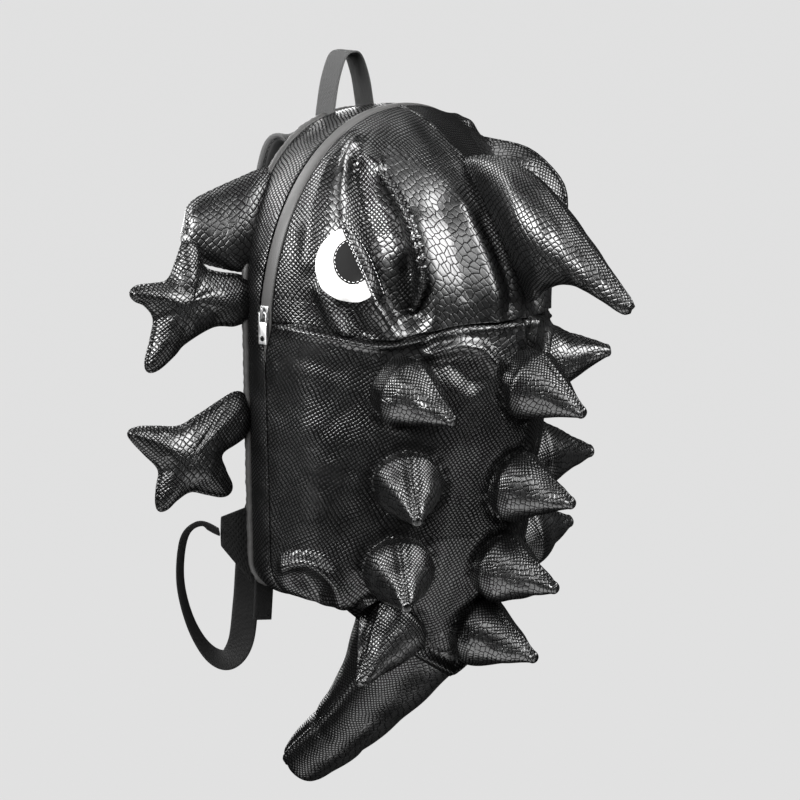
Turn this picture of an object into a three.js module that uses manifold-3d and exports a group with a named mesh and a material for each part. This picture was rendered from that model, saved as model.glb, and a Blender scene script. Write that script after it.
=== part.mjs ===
// A creature-shaped backpack in embossed faux leather: a hollow two-panel front on a gusset and a padded back, a zip
// over the head, stuffed horn, brows, ears, paws, spikes and tail, eyes, webbing straps and a grab loop.
// Millimetres, +Z up, the creature looks towards -Y. Points are worked out with z = 0 at the bag's bottom and depth
// counted forwards from the back seam. The part's origin is the inside top of the grab loop, where the bag hangs.
import * as THREE from "three";
import Module from "manifold-3d";

const wasm = await Module();
wasm.setup();

// Driving sizes
const GAP = 0.3; // between neighbouring pieces
const WALL = 2.2; // faux leather with its backing
const BAG = { height: 444, archFoot: 281, halfWidth: 160, taper: 8, corner: 38, archPower: 2.2 };
const GUSSET = { depth: 30, flare: 8 }; // the back outline is smaller by the flare
const ZIP = { width: 11.4, thick: 1.6, endZ: 226, endWidth: 1.2 };
const HEAD = { chinZ: 260, noseDepth: 209, profilePower: 1.5 };
const SHELL_POWER = 1.7; // roundness of the front's cross sections
const CHIN_DIP = { turn: 52, spread: 15, drop: 14, fade: 62 };
const TONGUE = { topZ: 60, tipZ: -84, hemRise: 22, core: 22, web: 46, wrap: 200, topHalf: 156, tipHalf: 138 };
const UNDERSIDE_POWER = 3;
const BINDING = { halfDepth: 3.5, proud: 3.2, cover: 3.5 };
const BACK = { front: 8, rear: -1 };
const LOOP = { top: 492, width: 22, thick: 2.4 };
const SPIKE = { radius: 33, sides: 10, root: 16 };
const EYE = { turn: 64, z: 316, radius: 29, pupil: 16, thick: 1.1, lidAngle: 58, lidWidth: 10, lidHeight: 6 };
const STRAP = { width: 58, thick: 11, webbing: 24, webbingThick: 2 };
const SLIDER = { z: 268, depth: 30.2, plate: [2.7, 10, 13], barWide: 3, barOut: 6.8, barIn: 5.4, barLong: 10 };
const PULL = { axisOut: 4.2, wire: 1.6, eyeWide: 9, plateFrom: 8.5, length: 29, hole: 2.6 };

// Front edge of the gusset: it draws in at the zip's end and leans forwards over the head
const GUSSET_EDGE = [
  { z: 0, depth: 29 },
  { z: 226, depth: 28 },
  { z: 260, depth: 23 },
  { z: 444, depth: 50 },
];

// Centre profile of the body panel, chin to the hem over the tail
const BODY_PROFILE = [
  { z: 260, depth: 208 },
  { z: 200, depth: 214 },
  { z: 150, depth: 207 },
  { z: 103, depth: 197 },
  { z: 60, depth: 187 },
  { z: 24, depth: 178 },
  { z: -6, depth: 168 },
  { z: -34, depth: 156 },
  { z: -60, depth: 140 },
  { z: -84, depth: 118 },
];

// Broad folds of the front, the same on both sides: each runs between two places given by turn and height
const FOLDS = [
  { part: "head", turnA: 66, zA: 405, turnB: 58, zB: 345, width: 15, height: -5 },
  { part: "head", turnA: 58, zA: 345, turnB: 50, zB: 285, width: 12, height: -6 },
  { part: "head", turnA: 74, zA: 300, turnB: 58, zB: 268, width: 13, height: 5 },
  { part: "head", turnA: 26, zA: 395, turnB: 22, zB: 300, width: 20, height: 4 },
  { part: "body", turnA: 60, zA: 246, turnB: 30, zB: 232, width: 12, height: 5 },
  { part: "body", turnA: 70, zA: 58, turnB: 46, zB: 20, width: 13, height: 8 },
  { part: "body", turnA: 66, zA: 30, turnB: 56, zB: 12, width: 11, height: -5 },
];

// Sections of the crest horn, from inside the head to the tip, on the middle plane
const HORN = [
  { topDepth: 108, topZ: 386, lowDepth: 172, lowZ: 264, thick: 30 },
  { topDepth: 142, topZ: 401, lowDepth: 214, lowZ: 275, thick: 42 },
  { topDepth: 172, topZ: 405, lowDepth: 227, lowZ: 285, thick: 54 },
  { topDepth: 199, topZ: 400, lowDepth: 242, lowZ: 292, thick: 56 },
  { topDepth: 225, topZ: 385, lowDepth: 257, lowZ: 294, thick: 52 },
  { topDepth: 248, topZ: 366, lowDepth: 273, lowZ: 292, thick: 45 },
  { topDepth: 272, topZ: 341, lowDepth: 289, lowZ: 286, thick: 36 },
  { topDepth: 297, topZ: 316, lowDepth: 304, lowZ: 279, thick: 26 },
  { topDepth: 321, topZ: 292, lowDepth: 318, lowZ: 273, thick: 15 },
  { topDepth: 328, topZ: 283, lowDepth: 325, lowZ: 274, thick: 8 },
];

// Crest line of a brow, from the zip down to the cheek, for the right side
const BROW = [
  { x: 84, depth: 58, z: 420, thick: 10 },
  { x: 95, depth: 96, z: 412, thick: 18 },
  { x: 105, depth: 132, z: 401, thick: 26 },
  { x: 113, depth: 155, z: 384, thick: 31 },
  { x: 116, depth: 168, z: 363, thick: 33 },
  { x: 114, depth: 171, z: 338, thick: 33 },
  { x: 108, depth: 168, z: 313, thick: 30 },
  { x: 101, depth: 161, z: 290, thick: 24 },
  { x: 95, depth: 151, z: 270, thick: 12 },
];
const BROW_AIM = { depth: 60, z: 330, reach: 48 }; // each section points away from this place in the head

// Sections of an ear from inside the back seam to its blunt end, for the right side
const EAR = [
  { topX: 104, topZ: 390, lowX: 136, lowZ: 302, back: -4, thick: 22 },
  { topX: 122, topZ: 393, lowX: 154, lowZ: 303, back: 3, thick: 26 },
  { topX: 141, topZ: 385, lowX: 167, lowZ: 307, back: 16, thick: 28 },
  { topX: 158, topZ: 376, lowX: 178, lowZ: 312, back: 30, thick: 26 },
  { topX: 173, topZ: 367, lowX: 186, lowZ: 321, back: 42, thick: 21 },
  { topX: 180, topZ: 360, lowX: 189, lowZ: 327, back: 46, thick: 12 },
];

// Outlines of the paws round the palm: angle from straight out, towards up, and reach
const PAW_FRONT = [
  { angle: 0, reach: 50 },
  { angle: 11, reach: 57 },
  { angle: 24, reach: 47 },
  { angle: 47, reach: 29 },
  { angle: 80, reach: 42 },
  { angle: 96, reach: 54 },
  { angle: 109, reach: 47 },
  { angle: 130, reach: 35 },
  { angle: 164, reach: 58 },
  { angle: 175, reach: 74 },
  { angle: 194, reach: 75 },
  { angle: 208, reach: 59 },
  { angle: 225, reach: 40 },
  { angle: 270, reach: 42 },
  { angle: 289, reach: 66 },
  { angle: 300, reach: 74 },
  { angle: 311, reach: 64 },
  { angle: 334, reach: 41 },
];
const PAW_REAR = [
  { angle: 10, reach: 50 },
  { angle: 23, reach: 63 },
  { angle: 37, reach: 47 },
  { angle: 74, reach: 28 },
  { angle: 112, reach: 37 },
  { angle: 136, reach: 72 },
  { angle: 150, reach: 74 },
  { angle: 168, reach: 66 },
  { angle: 186, reach: 38 },
  { angle: 206, reach: 46 },
  { angle: 223, reach: 61 },
  { angle: 239, reach: 50 },
  { angle: 263, reach: 39 },
  { angle: 284, reach: 48 },
  { angle: 297, reach: 58 },
  { angle: 309, reach: 51 },
  { angle: 335, reach: 34 },
];
const PAW = { out: 66, sweep: 20, thick: 34, sides: 30, frontZ: 282, rearZ: 140, rootX: 150, stretch: 1.05 };
const PAW_RINGS = [1, 0.8, 0.42];

// Spikes: place on the front by turn and height, heading as x, forward and up, and length to the blunt tip.
// The lowest pair has no turn: it sits beside the tail's root at a place given by x and depth.
const SPIKES = [
  { name: "spike_left_1", turn: -46, z: 200, x: -6, forward: 60, up: -22, length: 66 },
  { name: "spike_left_2", turn: -43, z: 112, x: -45, forward: 45, up: -27, length: 66 },
  { name: "spike_left_3", turn: -43, z: 31, x: -46, forward: 45, up: -27, length: 66 },
  { name: "spike_left_4", atX: -56, atDepth: 99, z: -31, x: -66, forward: 8, up: -48, length: 78 },
  { name: "spike_mid_1", turn: 0, z: 200, x: 0, forward: 60, up: -23, length: 66 },
  { name: "spike_mid_2", turn: 0, z: 103, x: 0, forward: 66, up: -11, length: 67 },
  { name: "spike_mid_3", turn: 0, z: 25, x: 0, forward: 66, up: -14, length: 68 },
  { name: "spike_mid_4", turn: 0, z: -37, x: 0, forward: 68, up: -20, length: 70 },
  { name: "spike_right_1", turn: 46, z: 204, x: 42, forward: 44, up: 7, length: 65 },
  { name: "spike_right_2", turn: 46, z: 112, x: 54, forward: 26, up: -1, length: 64 },
  { name: "spike_right_3", turn: 50, z: 33, x: 60, forward: 18, up: 8, length: 62 },
  { name: "spike_right_4", atX: 56, atDepth: 99, z: -31, x: 66, forward: 8, up: -48, length: 78 },
];
// Radius of a spike along its length, both as shares
const SPIKE_PROFILE = [
  { along: 0, radius: 1 },
  { along: 0.16, radius: 0.93 },
  { along: 0.42, radius: 0.66 },
  { along: 0.72, radius: 0.34 },
  { along: 0.93, radius: 0.15 },
  { along: 1, radius: 0.06 },
];

// Sections of the tail down its middle line
const TAIL = [
  { depth: 98, z: 6, half: 58, deep: 58 },
  { depth: 90, z: -22, half: 57, deep: 58 },
  { depth: 79, z: -45, half: 54, deep: 54 },
  { depth: 67, z: -64, half: 50, deep: 48 },
  { depth: 52, z: -86, half: 45, deep: 42 },
  { depth: 35, z: -107, half: 40, deep: 36 },
  { depth: 15, z: -128, half: 35, deep: 31 },
  { depth: -10, z: -150, half: 30, deep: 26 },
  { depth: -35, z: -168, half: 25, deep: 22 },
  { depth: -53, z: -181, half: 20, deep: 18 },
  { depth: -58, z: -185, half: 13, deep: 12 },
];
const TAIL_POWER = 2.4;

// Middle lines of the right shoulder strap and its slack webbing, with the webbing's width heading in degrees
const STRAP_LINE = [
  { x: 46, depth: -6.9, z: 362, wide: 40 },
  { x: 47, depth: -6.9, z: 386, wide: 44 },
  { x: 51, depth: -13, z: 408, wide: 48 },
  { x: 58, depth: -25, z: 411, wide: 53 },
  { x: 64, depth: -30, z: 390, wide: 57 },
  { x: 70, depth: -32, z: 346, wide: 58 },
  { x: 74, depth: -32, z: 290, wide: 58 },
  { x: 77, depth: -31, z: 230, wide: 56 },
  { x: 82, depth: -29, z: 175, wide: 50 },
  { x: 87, depth: -28, z: 134, wide: 36 },
  { x: 87, depth: -28, z: 118, wide: 30 },
];
const WEBBING_LINE = [
  { x: 175, depth: -13, z: 62, heading: 118 },
  { x: 182, depth: -30, z: 68, heading: 132 },
  { x: 180, depth: -50, z: 52, heading: 142 },
  { x: 168, depth: -64, z: 10, heading: 143 },
  { x: 156, depth: -62, z: -30, heading: 150 },
  { x: 145, depth: -50, z: -58, heading: 168 },
  { x: 134, depth: -36, z: -66, heading: 195 },
  { x: 124, depth: -28, z: -50, heading: 214 },
  { x: 120, depth: -25, z: -12, heading: 215 },
  { x: 115, depth: -25, z: 34, heading: 205 },
  { x: 103, depth: -27, z: 70, heading: 190 },
  { x: 89, depth: -28, z: 90, heading: 181 },
  { x: 88, depth: -28, z: 102.4, heading: 180 },
];
const WEBBING_END_LINE = [
  { x: 88, depth: -24.6, z: 110, heading: 180 },
  { x: 89, depth: -24.4, z: 97, heading: 180 },
  { x: 104, depth: -14, z: 48, heading: 186 },
  { x: 113, depth: -8.8, z: 6, heading: 188 },
  { x: 117, depth: -8, z: -28, heading: 188 },
];
const LOCK = { wide: 34, tall: 14, thick: 4 };
const ANCHOR = { rootLowZ: 10, rootTopZ: 84, tipX: 172, tipBack: 11, tipLowZ: 48, tipTopZ: 76, thick: 2.6 };

// Materials
const matt = (color, roughness, metalness = 0) => new THREE.MeshStandardMaterial({ color, roughness, metalness });
const MATERIALS = {
  leather: matt(0x1b1b1d, 0.38),
  binding: matt(0x74716f, 0.5),
  tape: matt(0x7d7a79, 0.45),
  webbing: matt(0x2c2c2e, 0.8),
  loop: matt(0x6a6a6c, 0.75),
  padding: matt(0x161617, 0.85),
  metal: matt(0xc9c9cc, 0.25, 1),
  plastic: matt(0x151516, 0.5),
  white: matt(0xf2f2f0, 0.5),
  black: matt(0x0b0b0c, 0.4),
};

// Small maths
const rad = THREE.MathUtils.degToRad;
const at = (x, depth, z) => new THREE.Vector3(x, -depth, z);
const mix = THREE.MathUtils.lerp;
const signedPower = (value, power) => Math.sign(value) * Math.abs(value) ** power;
const steps = (count) => Array.from({ length: count + 1 }, (_, i) => i / count);

// Value of a table's column at a key, straight between the rows
function along(table, key, column, value) {
  const rising = table[0][key] < table.at(-1)[key];
  const rows = rising ? table : table.toReversed();
  const next = rows.findIndex((row) => row[key] >= value);
  if (next === 0) return rows[0][column];
  if (next < 0) return rows.at(-1)[column];
  const [a, b] = [rows[next - 1], rows[next]];
  return mix(a[column], b[column], (value - a[key]) / (b[key] - a[key]));
}

// Collects triangles with shared corners and gives a closed geometry that faces out
class Facets {
  constructor() {
    this.corners = new Map();
    this.points = [];
    this.triangles = [];
  }

  corner(point) {
    const key = [point.x, point.y, point.z].map((v) => Math.round(v * 1e3)).join();
    if (!this.corners.has(key)) {
      this.corners.set(key, this.points.length);
      this.points.push(point.clone());
    }
    return this.corners.get(key);
  }

  triangle(a, b, c) {
    const [i, j, k] = [a, b, c].map((point) => this.corner(point));
    if (i !== j && j !== k && k !== i) this.triangles.push([i, j, k]);
  }

  quad(a, b, c, d) {
    if (a.distanceTo(c) <= b.distanceTo(d)) {
      this.triangle(a, b, c);
      this.triangle(a, c, d);
    } else {
      this.triangle(a, b, d);
      this.triangle(b, c, d);
    }
  }

  volume() {
    return this.triangles.reduce((sum, [i, j, k]) => {
      const across = this.points[j].clone().cross(this.points[k]);
      return sum + this.points[i].dot(across) / 6;
    }, 0);
  }

  geometry() {
    if (this.volume() < 0) this.triangles.forEach((corners) => corners.reverse());
    const positions = new Float32Array(this.points.flatMap((point) => point.toArray()));
    return new THREE.BufferGeometry()
      .setAttribute("position", new THREE.BufferAttribute(positions, 3))
      .setIndex(this.triangles.flat());
  }
}

// Solid through rings of points, with fans over both ends
function ringSolid(rings) {
  const facets = new Facets();
  const count = rings[0].length;
  for (let i = 0; i + 1 < rings.length; i++)
    for (let j = 0; j < count; j++) {
      const k = (j + 1) % count;
      facets.quad(rings[i][j], rings[i][k], rings[i + 1][k], rings[i + 1][j]);
    }
  const middle = (ring) => ring.reduce((sum, p) => sum.add(p), new THREE.Vector3()).divideScalar(count);
  const [first, last] = [rings[0], rings.at(-1)];
  const [foot, head] = [middle(first), middle(last)];
  for (let j = 0; j < count; j++) {
    const k = (j + 1) % count;
    facets.triangle(first[k], first[j], foot);
    facets.triangle(last[j], last[k], head);
  }
  return facets.geometry();
}

// Closed loop through rings of points
function loopSolid(rings) {
  const facets = new Facets();
  const count = rings[0].length;
  rings.forEach((ring, i) => {
    const next = rings[(i + 1) % rings.length];
    for (let j = 0; j < count; j++) {
      const k = (j + 1) % count;
      facets.quad(ring[j], ring[k], next[k], next[j]);
    }
  });
  return facets.geometry();
}

// Wall between an outer and an inner grid of points
function wallSolid(outer, inner) {
  const facets = new Facets();
  const [rows, columns] = [outer.length - 1, outer[0].length - 1];
  for (let i = 0; i < rows; i++)
    for (let j = 0; j < columns; j++) {
      facets.quad(outer[i][j], outer[i][j + 1], outer[i + 1][j + 1], outer[i + 1][j]);
      facets.quad(inner[i + 1][j], inner[i + 1][j + 1], inner[i][j + 1], inner[i][j]);
    }
  for (let j = 0; j < columns; j++) {
    facets.quad(outer[0][j + 1], outer[0][j], inner[0][j], inner[0][j + 1]);
    facets.quad(outer[rows][j], outer[rows][j + 1], inner[rows][j + 1], inner[rows][j]);
  }
  for (let i = 0; i < rows; i++) {
    facets.quad(outer[i][0], outer[i + 1][0], inner[i + 1][0], inner[i][0]);
    facets.quad(outer[i + 1][columns], outer[i][columns], inner[i][columns], inner[i + 1][columns]);
  }
  return facets.geometry();
}

// Joins and cuts
function solid(geometry) {
  const vertProperties = geometry.getAttribute("position").array;
  const triVerts = new Uint32Array(geometry.index.array);
  return new wasm.Manifold(new wasm.Mesh({ numProp: 3, vertProperties, triVerts }));
}

function geometryOf(manifold) {
  const parts = manifold.decompose();
  const main = parts.reduce((best, part) => (part.volume() > best.volume() ? part : best));
  const mesh = main.getMesh();
  return new THREE.BufferGeometry()
    .setAttribute("position", new THREE.BufferAttribute(new Float32Array(mesh.vertProperties), 3))
    .setIndex(new THREE.BufferAttribute(new Uint32Array(mesh.triVerts), 1));
}

const cut = (geometry, ...tools) =>
  geometryOf(tools.reduce((body, tool) => body.subtract(solid(tool)), solid(geometry)));
const join = (...geometries) => geometryOf(geometries.map(solid).reduce((body, part) => body.add(part)));

function box(low, high) {
  const [a, b] = [new THREE.Vector3(...low), new THREE.Vector3(...high)];
  const ring = (z) => [
    new THREE.Vector3(a.x, a.y, z),
    new THREE.Vector3(b.x, a.y, z),
    new THREE.Vector3(b.x, b.y, z),
    new THREE.Vector3(a.x, b.y, z),
  ];
  return ringSolid([ring(a.z), ring(b.z)]);
}

// Half width of the bag at a height, for an outline drawn in by the inset
function halfWidthAt(z, inset = 0) {
  const { archFoot, height, halfWidth, taper, corner, archPower } = BAG;
  if (z >= archFoot) {
    const rise = Math.min((z - archFoot) / (height - inset - archFoot), 1);
    return (halfWidth - inset) * (1 - rise ** archPower) ** (1 / archPower);
  }
  const straight = (at) => halfWidth - inset - (taper * (archFoot - at)) / (archFoot - corner);
  if (z >= corner) return straight(z);
  const radius = corner - inset;
  const below = Math.min(corner - z, radius);
  return straight(corner) - radius + Math.sqrt(radius ** 2 - below ** 2);
}

// Points of one arch outline from the left end up over the top and down to the right end
function archLine(inset, sides, archSteps) {
  const { archFoot, height, halfWidth, archPower } = BAG;
  const arch = steps(archSteps).map((s) => {
    const angle = Math.PI * (1 - s);
    const x = (halfWidth - inset) * signedPower(Math.cos(angle), 2 / archPower);
    return { x, z: archFoot + (height - inset - archFoot) * Math.sin(angle) ** (2 / archPower) };
  });
  const left = sides.map((z) => ({ x: -halfWidthAt(z, inset), z }));
  const right = sides.toReversed().map((z) => ({ x: halfWidthAt(z, inset), z }));
  return [...left, ...arch, ...right];
}

// Points of the whole outline, round the bottom corners too
function outline(inset) {
  const { corner, halfWidth, taper } = BAG;
  const cornerSteps = 4;
  const centre = halfWidth - taper - corner;
  const round = steps(cornerSteps).slice(0, -1).map((s) => {
    const angle = rad(-90 + 90 * s);
    const reach = corner - inset;
    return { x: centre + reach * Math.cos(angle), z: corner + reach * Math.sin(angle) };
  });
  const left = round.map(({ x, z }) => ({ x: -x, z }));
  return [...left, ...archLine(inset, [corner, 132, ZIP.endZ, HEAD.chinZ], 22), ...round.toReversed()];
}

const gussetDepth = (z) => along(GUSSET_EDGE, "z", "depth", z);
const outlineRing = (inset, depth) => outline(inset).map(({ x, z }) => at(x, depth, z));
const edgeRing = (inset, beyond = 0) => outline(inset).map(({ x, z }) => at(x, gussetDepth(z) + beyond, z));

// Front edge of the zip: full width over the head, tapering away under the cheek
function zipFront(z) {
  const share = THREE.MathUtils.clamp((z - ZIP.endZ) / (HEAD.chinZ - ZIP.endZ), 0, 1);
  return gussetDepth(z) + GAP + mix(ZIP.endWidth, ZIP.width, share);
}

// Rim of the front panels: along the zip, and below it along the gusset
const frontRim = (z) => (z < ZIP.endZ ? gussetDepth(z) : zipFront(z)) + GAP;

// Depth of the front on the middle plane
function middleDepth(z) {
  const { archFoot, height } = BAG;
  if (z <= HEAD.chinZ) return along(BODY_PROFILE, "z", "depth", z);
  if (z <= archFoot) return mix(HEAD.noseDepth - 1, HEAD.noseDepth, (z - HEAD.chinZ) / (archFoot - HEAD.chinZ));
  const rise = Math.min((z - archFoot) / (height - archFoot), 1);
  const rim = frontRim(z);
  return rim + (HEAD.noseDepth - rim) * (1 - rise ** HEAD.profilePower) ** (1 / HEAD.profilePower);
}

// Place on a cross section: the turn runs from -90 at the left rim to 90 at the right
function sectionPoint(turn, half, rim, middle, z) {
  const power = 2 / SHELL_POWER;
  const x = half * signedPower(Math.sin(rad(turn)), power);
  const depth = rim + (middle - rim) * Math.max(Math.cos(rad(turn)), 0) ** power;
  return at(x, depth, z);
}

// The chin seam dips beside each brow, less and less away from the seam
function chinDip(turn, z) {
  const { turn: place, spread, drop, fade } = CHIN_DIP;
  const near = Math.max(1 - Math.abs(z - HEAD.chinZ) / fade, 0);
  return -drop * Math.exp(-(((Math.abs(turn) - place) / spread) ** 2)) * near;
}

function headPoint(turn, z) {
  const point = sectionPoint(turn, halfWidthAt(z), frontRim(z), middleDepth(z), z);
  return point.setZ(z + chinDip(turn, z));
}

// The body panel: its sides close under the bag, and its middle runs on as a tongue over the tail
function bodyPoint(turn, share) {
  const under = bodyUnder(turn, mix(HEAD.chinZ, 0, share));
  const reach = Math.abs(turn);
  const middle = 1 - THREE.MathUtils.smoothstep(reach, TONGUE.core, TONGUE.web);
  if (middle === 0) return under;
  const hem = TONGUE.tipZ + TONGUE.hemRise * Math.min(reach / TONGUE.core, 1.2) ** 1.3;
  const z = share < BODY_STRAIGHT ? mix(HEAD.chinZ, 0, share) : mix(TONGUE.topZ, hem, straightLeft(share));
  return under.lerp(tonguePoint(turn, z), middle);
}

// Share of the body panel above the tongue, and how far a share below that has run
const BODY_STRAIGHT = (HEAD.chinZ - TONGUE.topZ) / HEAD.chinZ;
const straightLeft = (share) => (share - BODY_STRAIGHT) / (1 - BODY_STRAIGHT);

function bodyUnder(turn, z) {
  const rim = frontRim(z);
  const low = Math.min(z / TONGUE.topZ, 1);
  const closing = (1 - (1 - low) ** UNDERSIDE_POWER) ** (1 / UNDERSIDE_POWER);
  const middle = rim + (middleDepth(Math.max(z, TONGUE.topZ)) - rim) * closing;
  const point = sectionPoint(turn, halfWidthAt(z), rim, middle, z);
  return point.setZ(z + chinDip(turn, z));
}

function tonguePoint(turn, z) {
  if (z >= TONGUE.topZ) return bodyUnder(turn, z);
  const share = (TONGUE.topZ - z) / (TONGUE.topZ - TONGUE.tipZ);
  const half = mix(TONGUE.topHalf, TONGUE.tipHalf, share);
  const middle = middleDepth(z);
  const straight = bodyUnder(0, TONGUE.topZ);
  const rim = mix(frontRim(TONGUE.topZ), middle - TONGUE.wrap, Math.min(share * 2, 1));
  return sectionPoint(turn, half, Math.min(rim, -straight.y), middle, z);
}

// Lift of the folds at a place, with a degree of turn taken as this many millimetres
const MM_PER_TURN = 2.9;
const LEAST_LIFT = 0.05;
function relief(part, turn, z) {
  const place = new THREE.Vector2(Math.abs(turn) * MM_PER_TURN, z);
  return FOLDS.filter((fold) => fold.part === part).reduce((sum, fold) => {
    const a = new THREE.Vector2(fold.turnA * MM_PER_TURN, fold.zA);
    const b = new THREE.Vector2(fold.turnB * MM_PER_TURN, fold.zB);
    const run = b.clone().sub(a);
    const share = THREE.MathUtils.clamp(place.clone().sub(a).dot(run) / run.lengthSq(), 0, 1);
    const off = place.distanceTo(a.addScaledVector(run, share));
    return sum + fold.height * Math.exp(-((off / fold.width) ** 2));
  }, 0);
}

// Outward directions over a grid of points
function gridNormals(grid) {
  const [rows, columns] = [grid.length - 1, grid[0].length - 1];
  return grid.map((row, i) =>
    row.map((_, j) => {
      const side = grid[i][Math.min(j + 1, columns)].clone().sub(grid[i][Math.max(j - 1, 0)]);
      const up = grid[Math.min(i + 1, rows)][j].clone().sub(grid[Math.max(i - 1, 0)][j]);
      const normal = side.cross(up);
      if (normal.lengthSq() < 1e-9) return new THREE.Vector3(0, 0, 1);
      normal.normalize();
      return normal.dot(row[j].clone().sub(at(0, 60, 200))) < 0 ? normal.negate() : normal;
    }),
  );
}

const lifted = (grid, lift) => {
  const normals = gridNormals(grid);
  return grid.map((row, i) => row.map((point, j) => point.clone().addScaledVector(normals[i][j], lift)));
};

// Grids of the head and body panels
const TURNS = steps(24).map((s) => mix(-90, 90, s));
const HEAD_RISES = [8, 17, 26, 35, 44, 53, 62, 70, 78, 85, 90];
const HEAD_HEIGHTS = [
  HEAD.chinZ,
  BAG.archFoot,
  ...HEAD_RISES.map((a) => {
    const rise = Math.sin(rad(a)) ** (2 / BAG.archPower);
    return BAG.archFoot + (BAG.height - BAG.archFoot) * rise;
  }),
];
const BODY_HEIGHTS = [260, 243, 226, 208, 168, 130, 96, 72, 54, 36, 20, 8, 0];
const BODY_SHARES = BODY_HEIGHTS.map((z) => 1 - z / HEAD.chinZ);

function panelGrid(part, rows, pointAt, heightAt) {
  const bare = rows.map((row) => TURNS.map((turn) => pointAt(turn, row)));
  const normals = gridNormals(bare);
  return bare.map((line, i) =>
    line.map((point, j) => {
      const rim = 1 - (Math.abs(TURNS[j]) / 90) ** 8;
      const lift = relief(part, TURNS[j], heightAt(rows[i])) * rim;
      return point.addScaledVector(normals[i][j], Math.abs(lift) < LEAST_LIFT ? 0 : lift);
    }),
  );
}

const headGrid = panelGrid("head", HEAD_HEIGHTS, headPoint, (z) => z);
const bodyGrid = panelGrid("body", BODY_SHARES, bodyPoint, (share) => mix(HEAD.chinZ, 0, share));

function panel(grid, chinRow, chinLift) {
  const raised = grid.map((row) => row.map((p) => p.clone()));
  raised[chinRow].forEach((p) => p.setZ(p.z + chinLift));
  const inner = lifted(raised, -WALL);
  [...raised, ...inner].flat().forEach((p) => p.setY(Math.min(p.y, -gussetDepth(p.z) - GAP)));
  return wallSolid(raised, inner);
}

// The filled front, a little proud, which trims what is sewn onto it
function frontCore() {
  const rows = [...lifted(headGrid, GAP).toReversed(), ...lifted(bodyGrid, GAP).slice(1)];
  return ringSolid(rows.slice(1));
}

// The filled back edge, a little proud, which trims what is sewn into the back seam
function backCore() {
  const { halfDepth, proud } = BINDING;
  const binding = GUSSET.flare - proud - GAP;
  return ringSolid([
    outlineRing(binding, -halfDepth - GAP),
    outlineRing(binding, halfDepth + GAP),
    outlineRing(GUSSET.flare * (1 - (halfDepth + 1) / GUSSET.depth) - GAP, halfDepth + 1),
    edgeRing(-GAP),
    edgeRing(-GAP, ZIP.width),
  ]);
}

const FRONT = frontCore();
const REAR = backCore();

// Gusset, binding, back panel and zip tape
function gusset() {
  const from = BINDING.halfDepth + GAP;
  const rear = GUSSET.flare * (1 - from / GUSSET.depth);
  const lines = [
    outlineRing(rear, from),
    edgeRing(0),
    edgeRing(WALL),
    outlineRing(rear + WALL, from),
  ];
  return loopSolid(lines[0].map((_, i) => lines.map((line) => line[i])));
}

function binding() {
  const { halfDepth, proud, cover } = BINDING;
  const section = steps(6).slice(0, -1).map((s) => {
    const angle = 2 * Math.PI * s;
    const wide = (proud + cover) / 2;
    const inset = GUSSET.flare + (cover - proud) / 2 - wide * Math.cos(angle);
    return outlineRing(inset, halfDepth * Math.sin(angle));
  });
  return loopSolid(section[0].map((_, i) => section.map((line) => line[i])));
}

function backPanel() {
  const edge = GUSSET.flare + BINDING.cover + GAP;
  const crown = 5;
  return ringSolid([
    outlineRing(edge + crown, BACK.rear),
    outlineRing(edge, BACK.rear + 2),
    outlineRing(edge, BACK.front),
  ]);
}

function zipperTape() {
  const sides = [ZIP.endZ, (ZIP.endZ + HEAD.chinZ) / 2, HEAD.chinZ];
  const grid = (inset) =>
    archLine(inset, sides, 26).map(({ x, z }) => [at(x, gussetDepth(z) + GAP, z), at(x, zipFront(z), z)]);
  return wallSolid(grid(0), grid(ZIP.thick));
}

// Slider and pull, on the left cheek: the pull hangs on a cross wire under the slider's bar
const sliderX = -(BAG.halfWidth + GAP);
function zipSlider() {
  const [out, wide, tall] = SLIDER.plate;
  const y = -SLIDER.depth;
  const plate = box(
    [sliderX - out, y - wide / 2, SLIDER.z - tall / 2],
    [sliderX, y + wide / 2, SLIDER.z + tall / 2],
  );
  const half = SLIDER.barLong / 2;
  const foot = 1.6;
  const bar = box(
    [sliderX - SLIDER.barOut, y - SLIDER.barWide / 2, SLIDER.z - half],
    [sliderX - SLIDER.barIn, y + SLIDER.barWide / 2, SLIDER.z + half],
  );
  const post = (low) =>
    box(
      [sliderX - SLIDER.barIn - 0.2, y - SLIDER.barWide / 2, low],
      [sliderX - out + 0.2, y + SLIDER.barWide / 2, low + foot],
    );
  return join(plate, bar, post(SLIDER.z - half), post(SLIDER.z + half - foot));
}

function zipPull() {
  const { axisOut, wire, eyeWide, plateFrom, length, hole } = PULL;
  const x = sliderX - axisOut;
  const y = -SLIDER.depth;
  const half = wire / 2;
  const slab = (fromY, toY, fromZ, toZ) =>
    box([x - half, y + fromY, SLIDER.z + fromZ], [x + half, y + toY, SLIDER.z + toZ]);
  const wide = eyeWide / 2;
  const frame = join(
    slab(-wide, wide, -half, half),
    slab(-wide, -wide + wire, -plateFrom - 1, half),
    slab(wide - wire, wide, -plateFrom - 1, half),
    slab(-wide, wide, -length, -plateFrom),
  );
  const ring = (offset) =>
    steps(8).slice(0, -1).map((s) => {
      const angle = 2 * Math.PI * s;
      const z = SLIDER.z - length + 2 * hole + hole * Math.sin(angle);
      return new THREE.Vector3(x + offset, y + hole * Math.cos(angle), z);
    });
  return cut(frame, ringSolid([ring(-wire), ring(wire)]));
}

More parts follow.
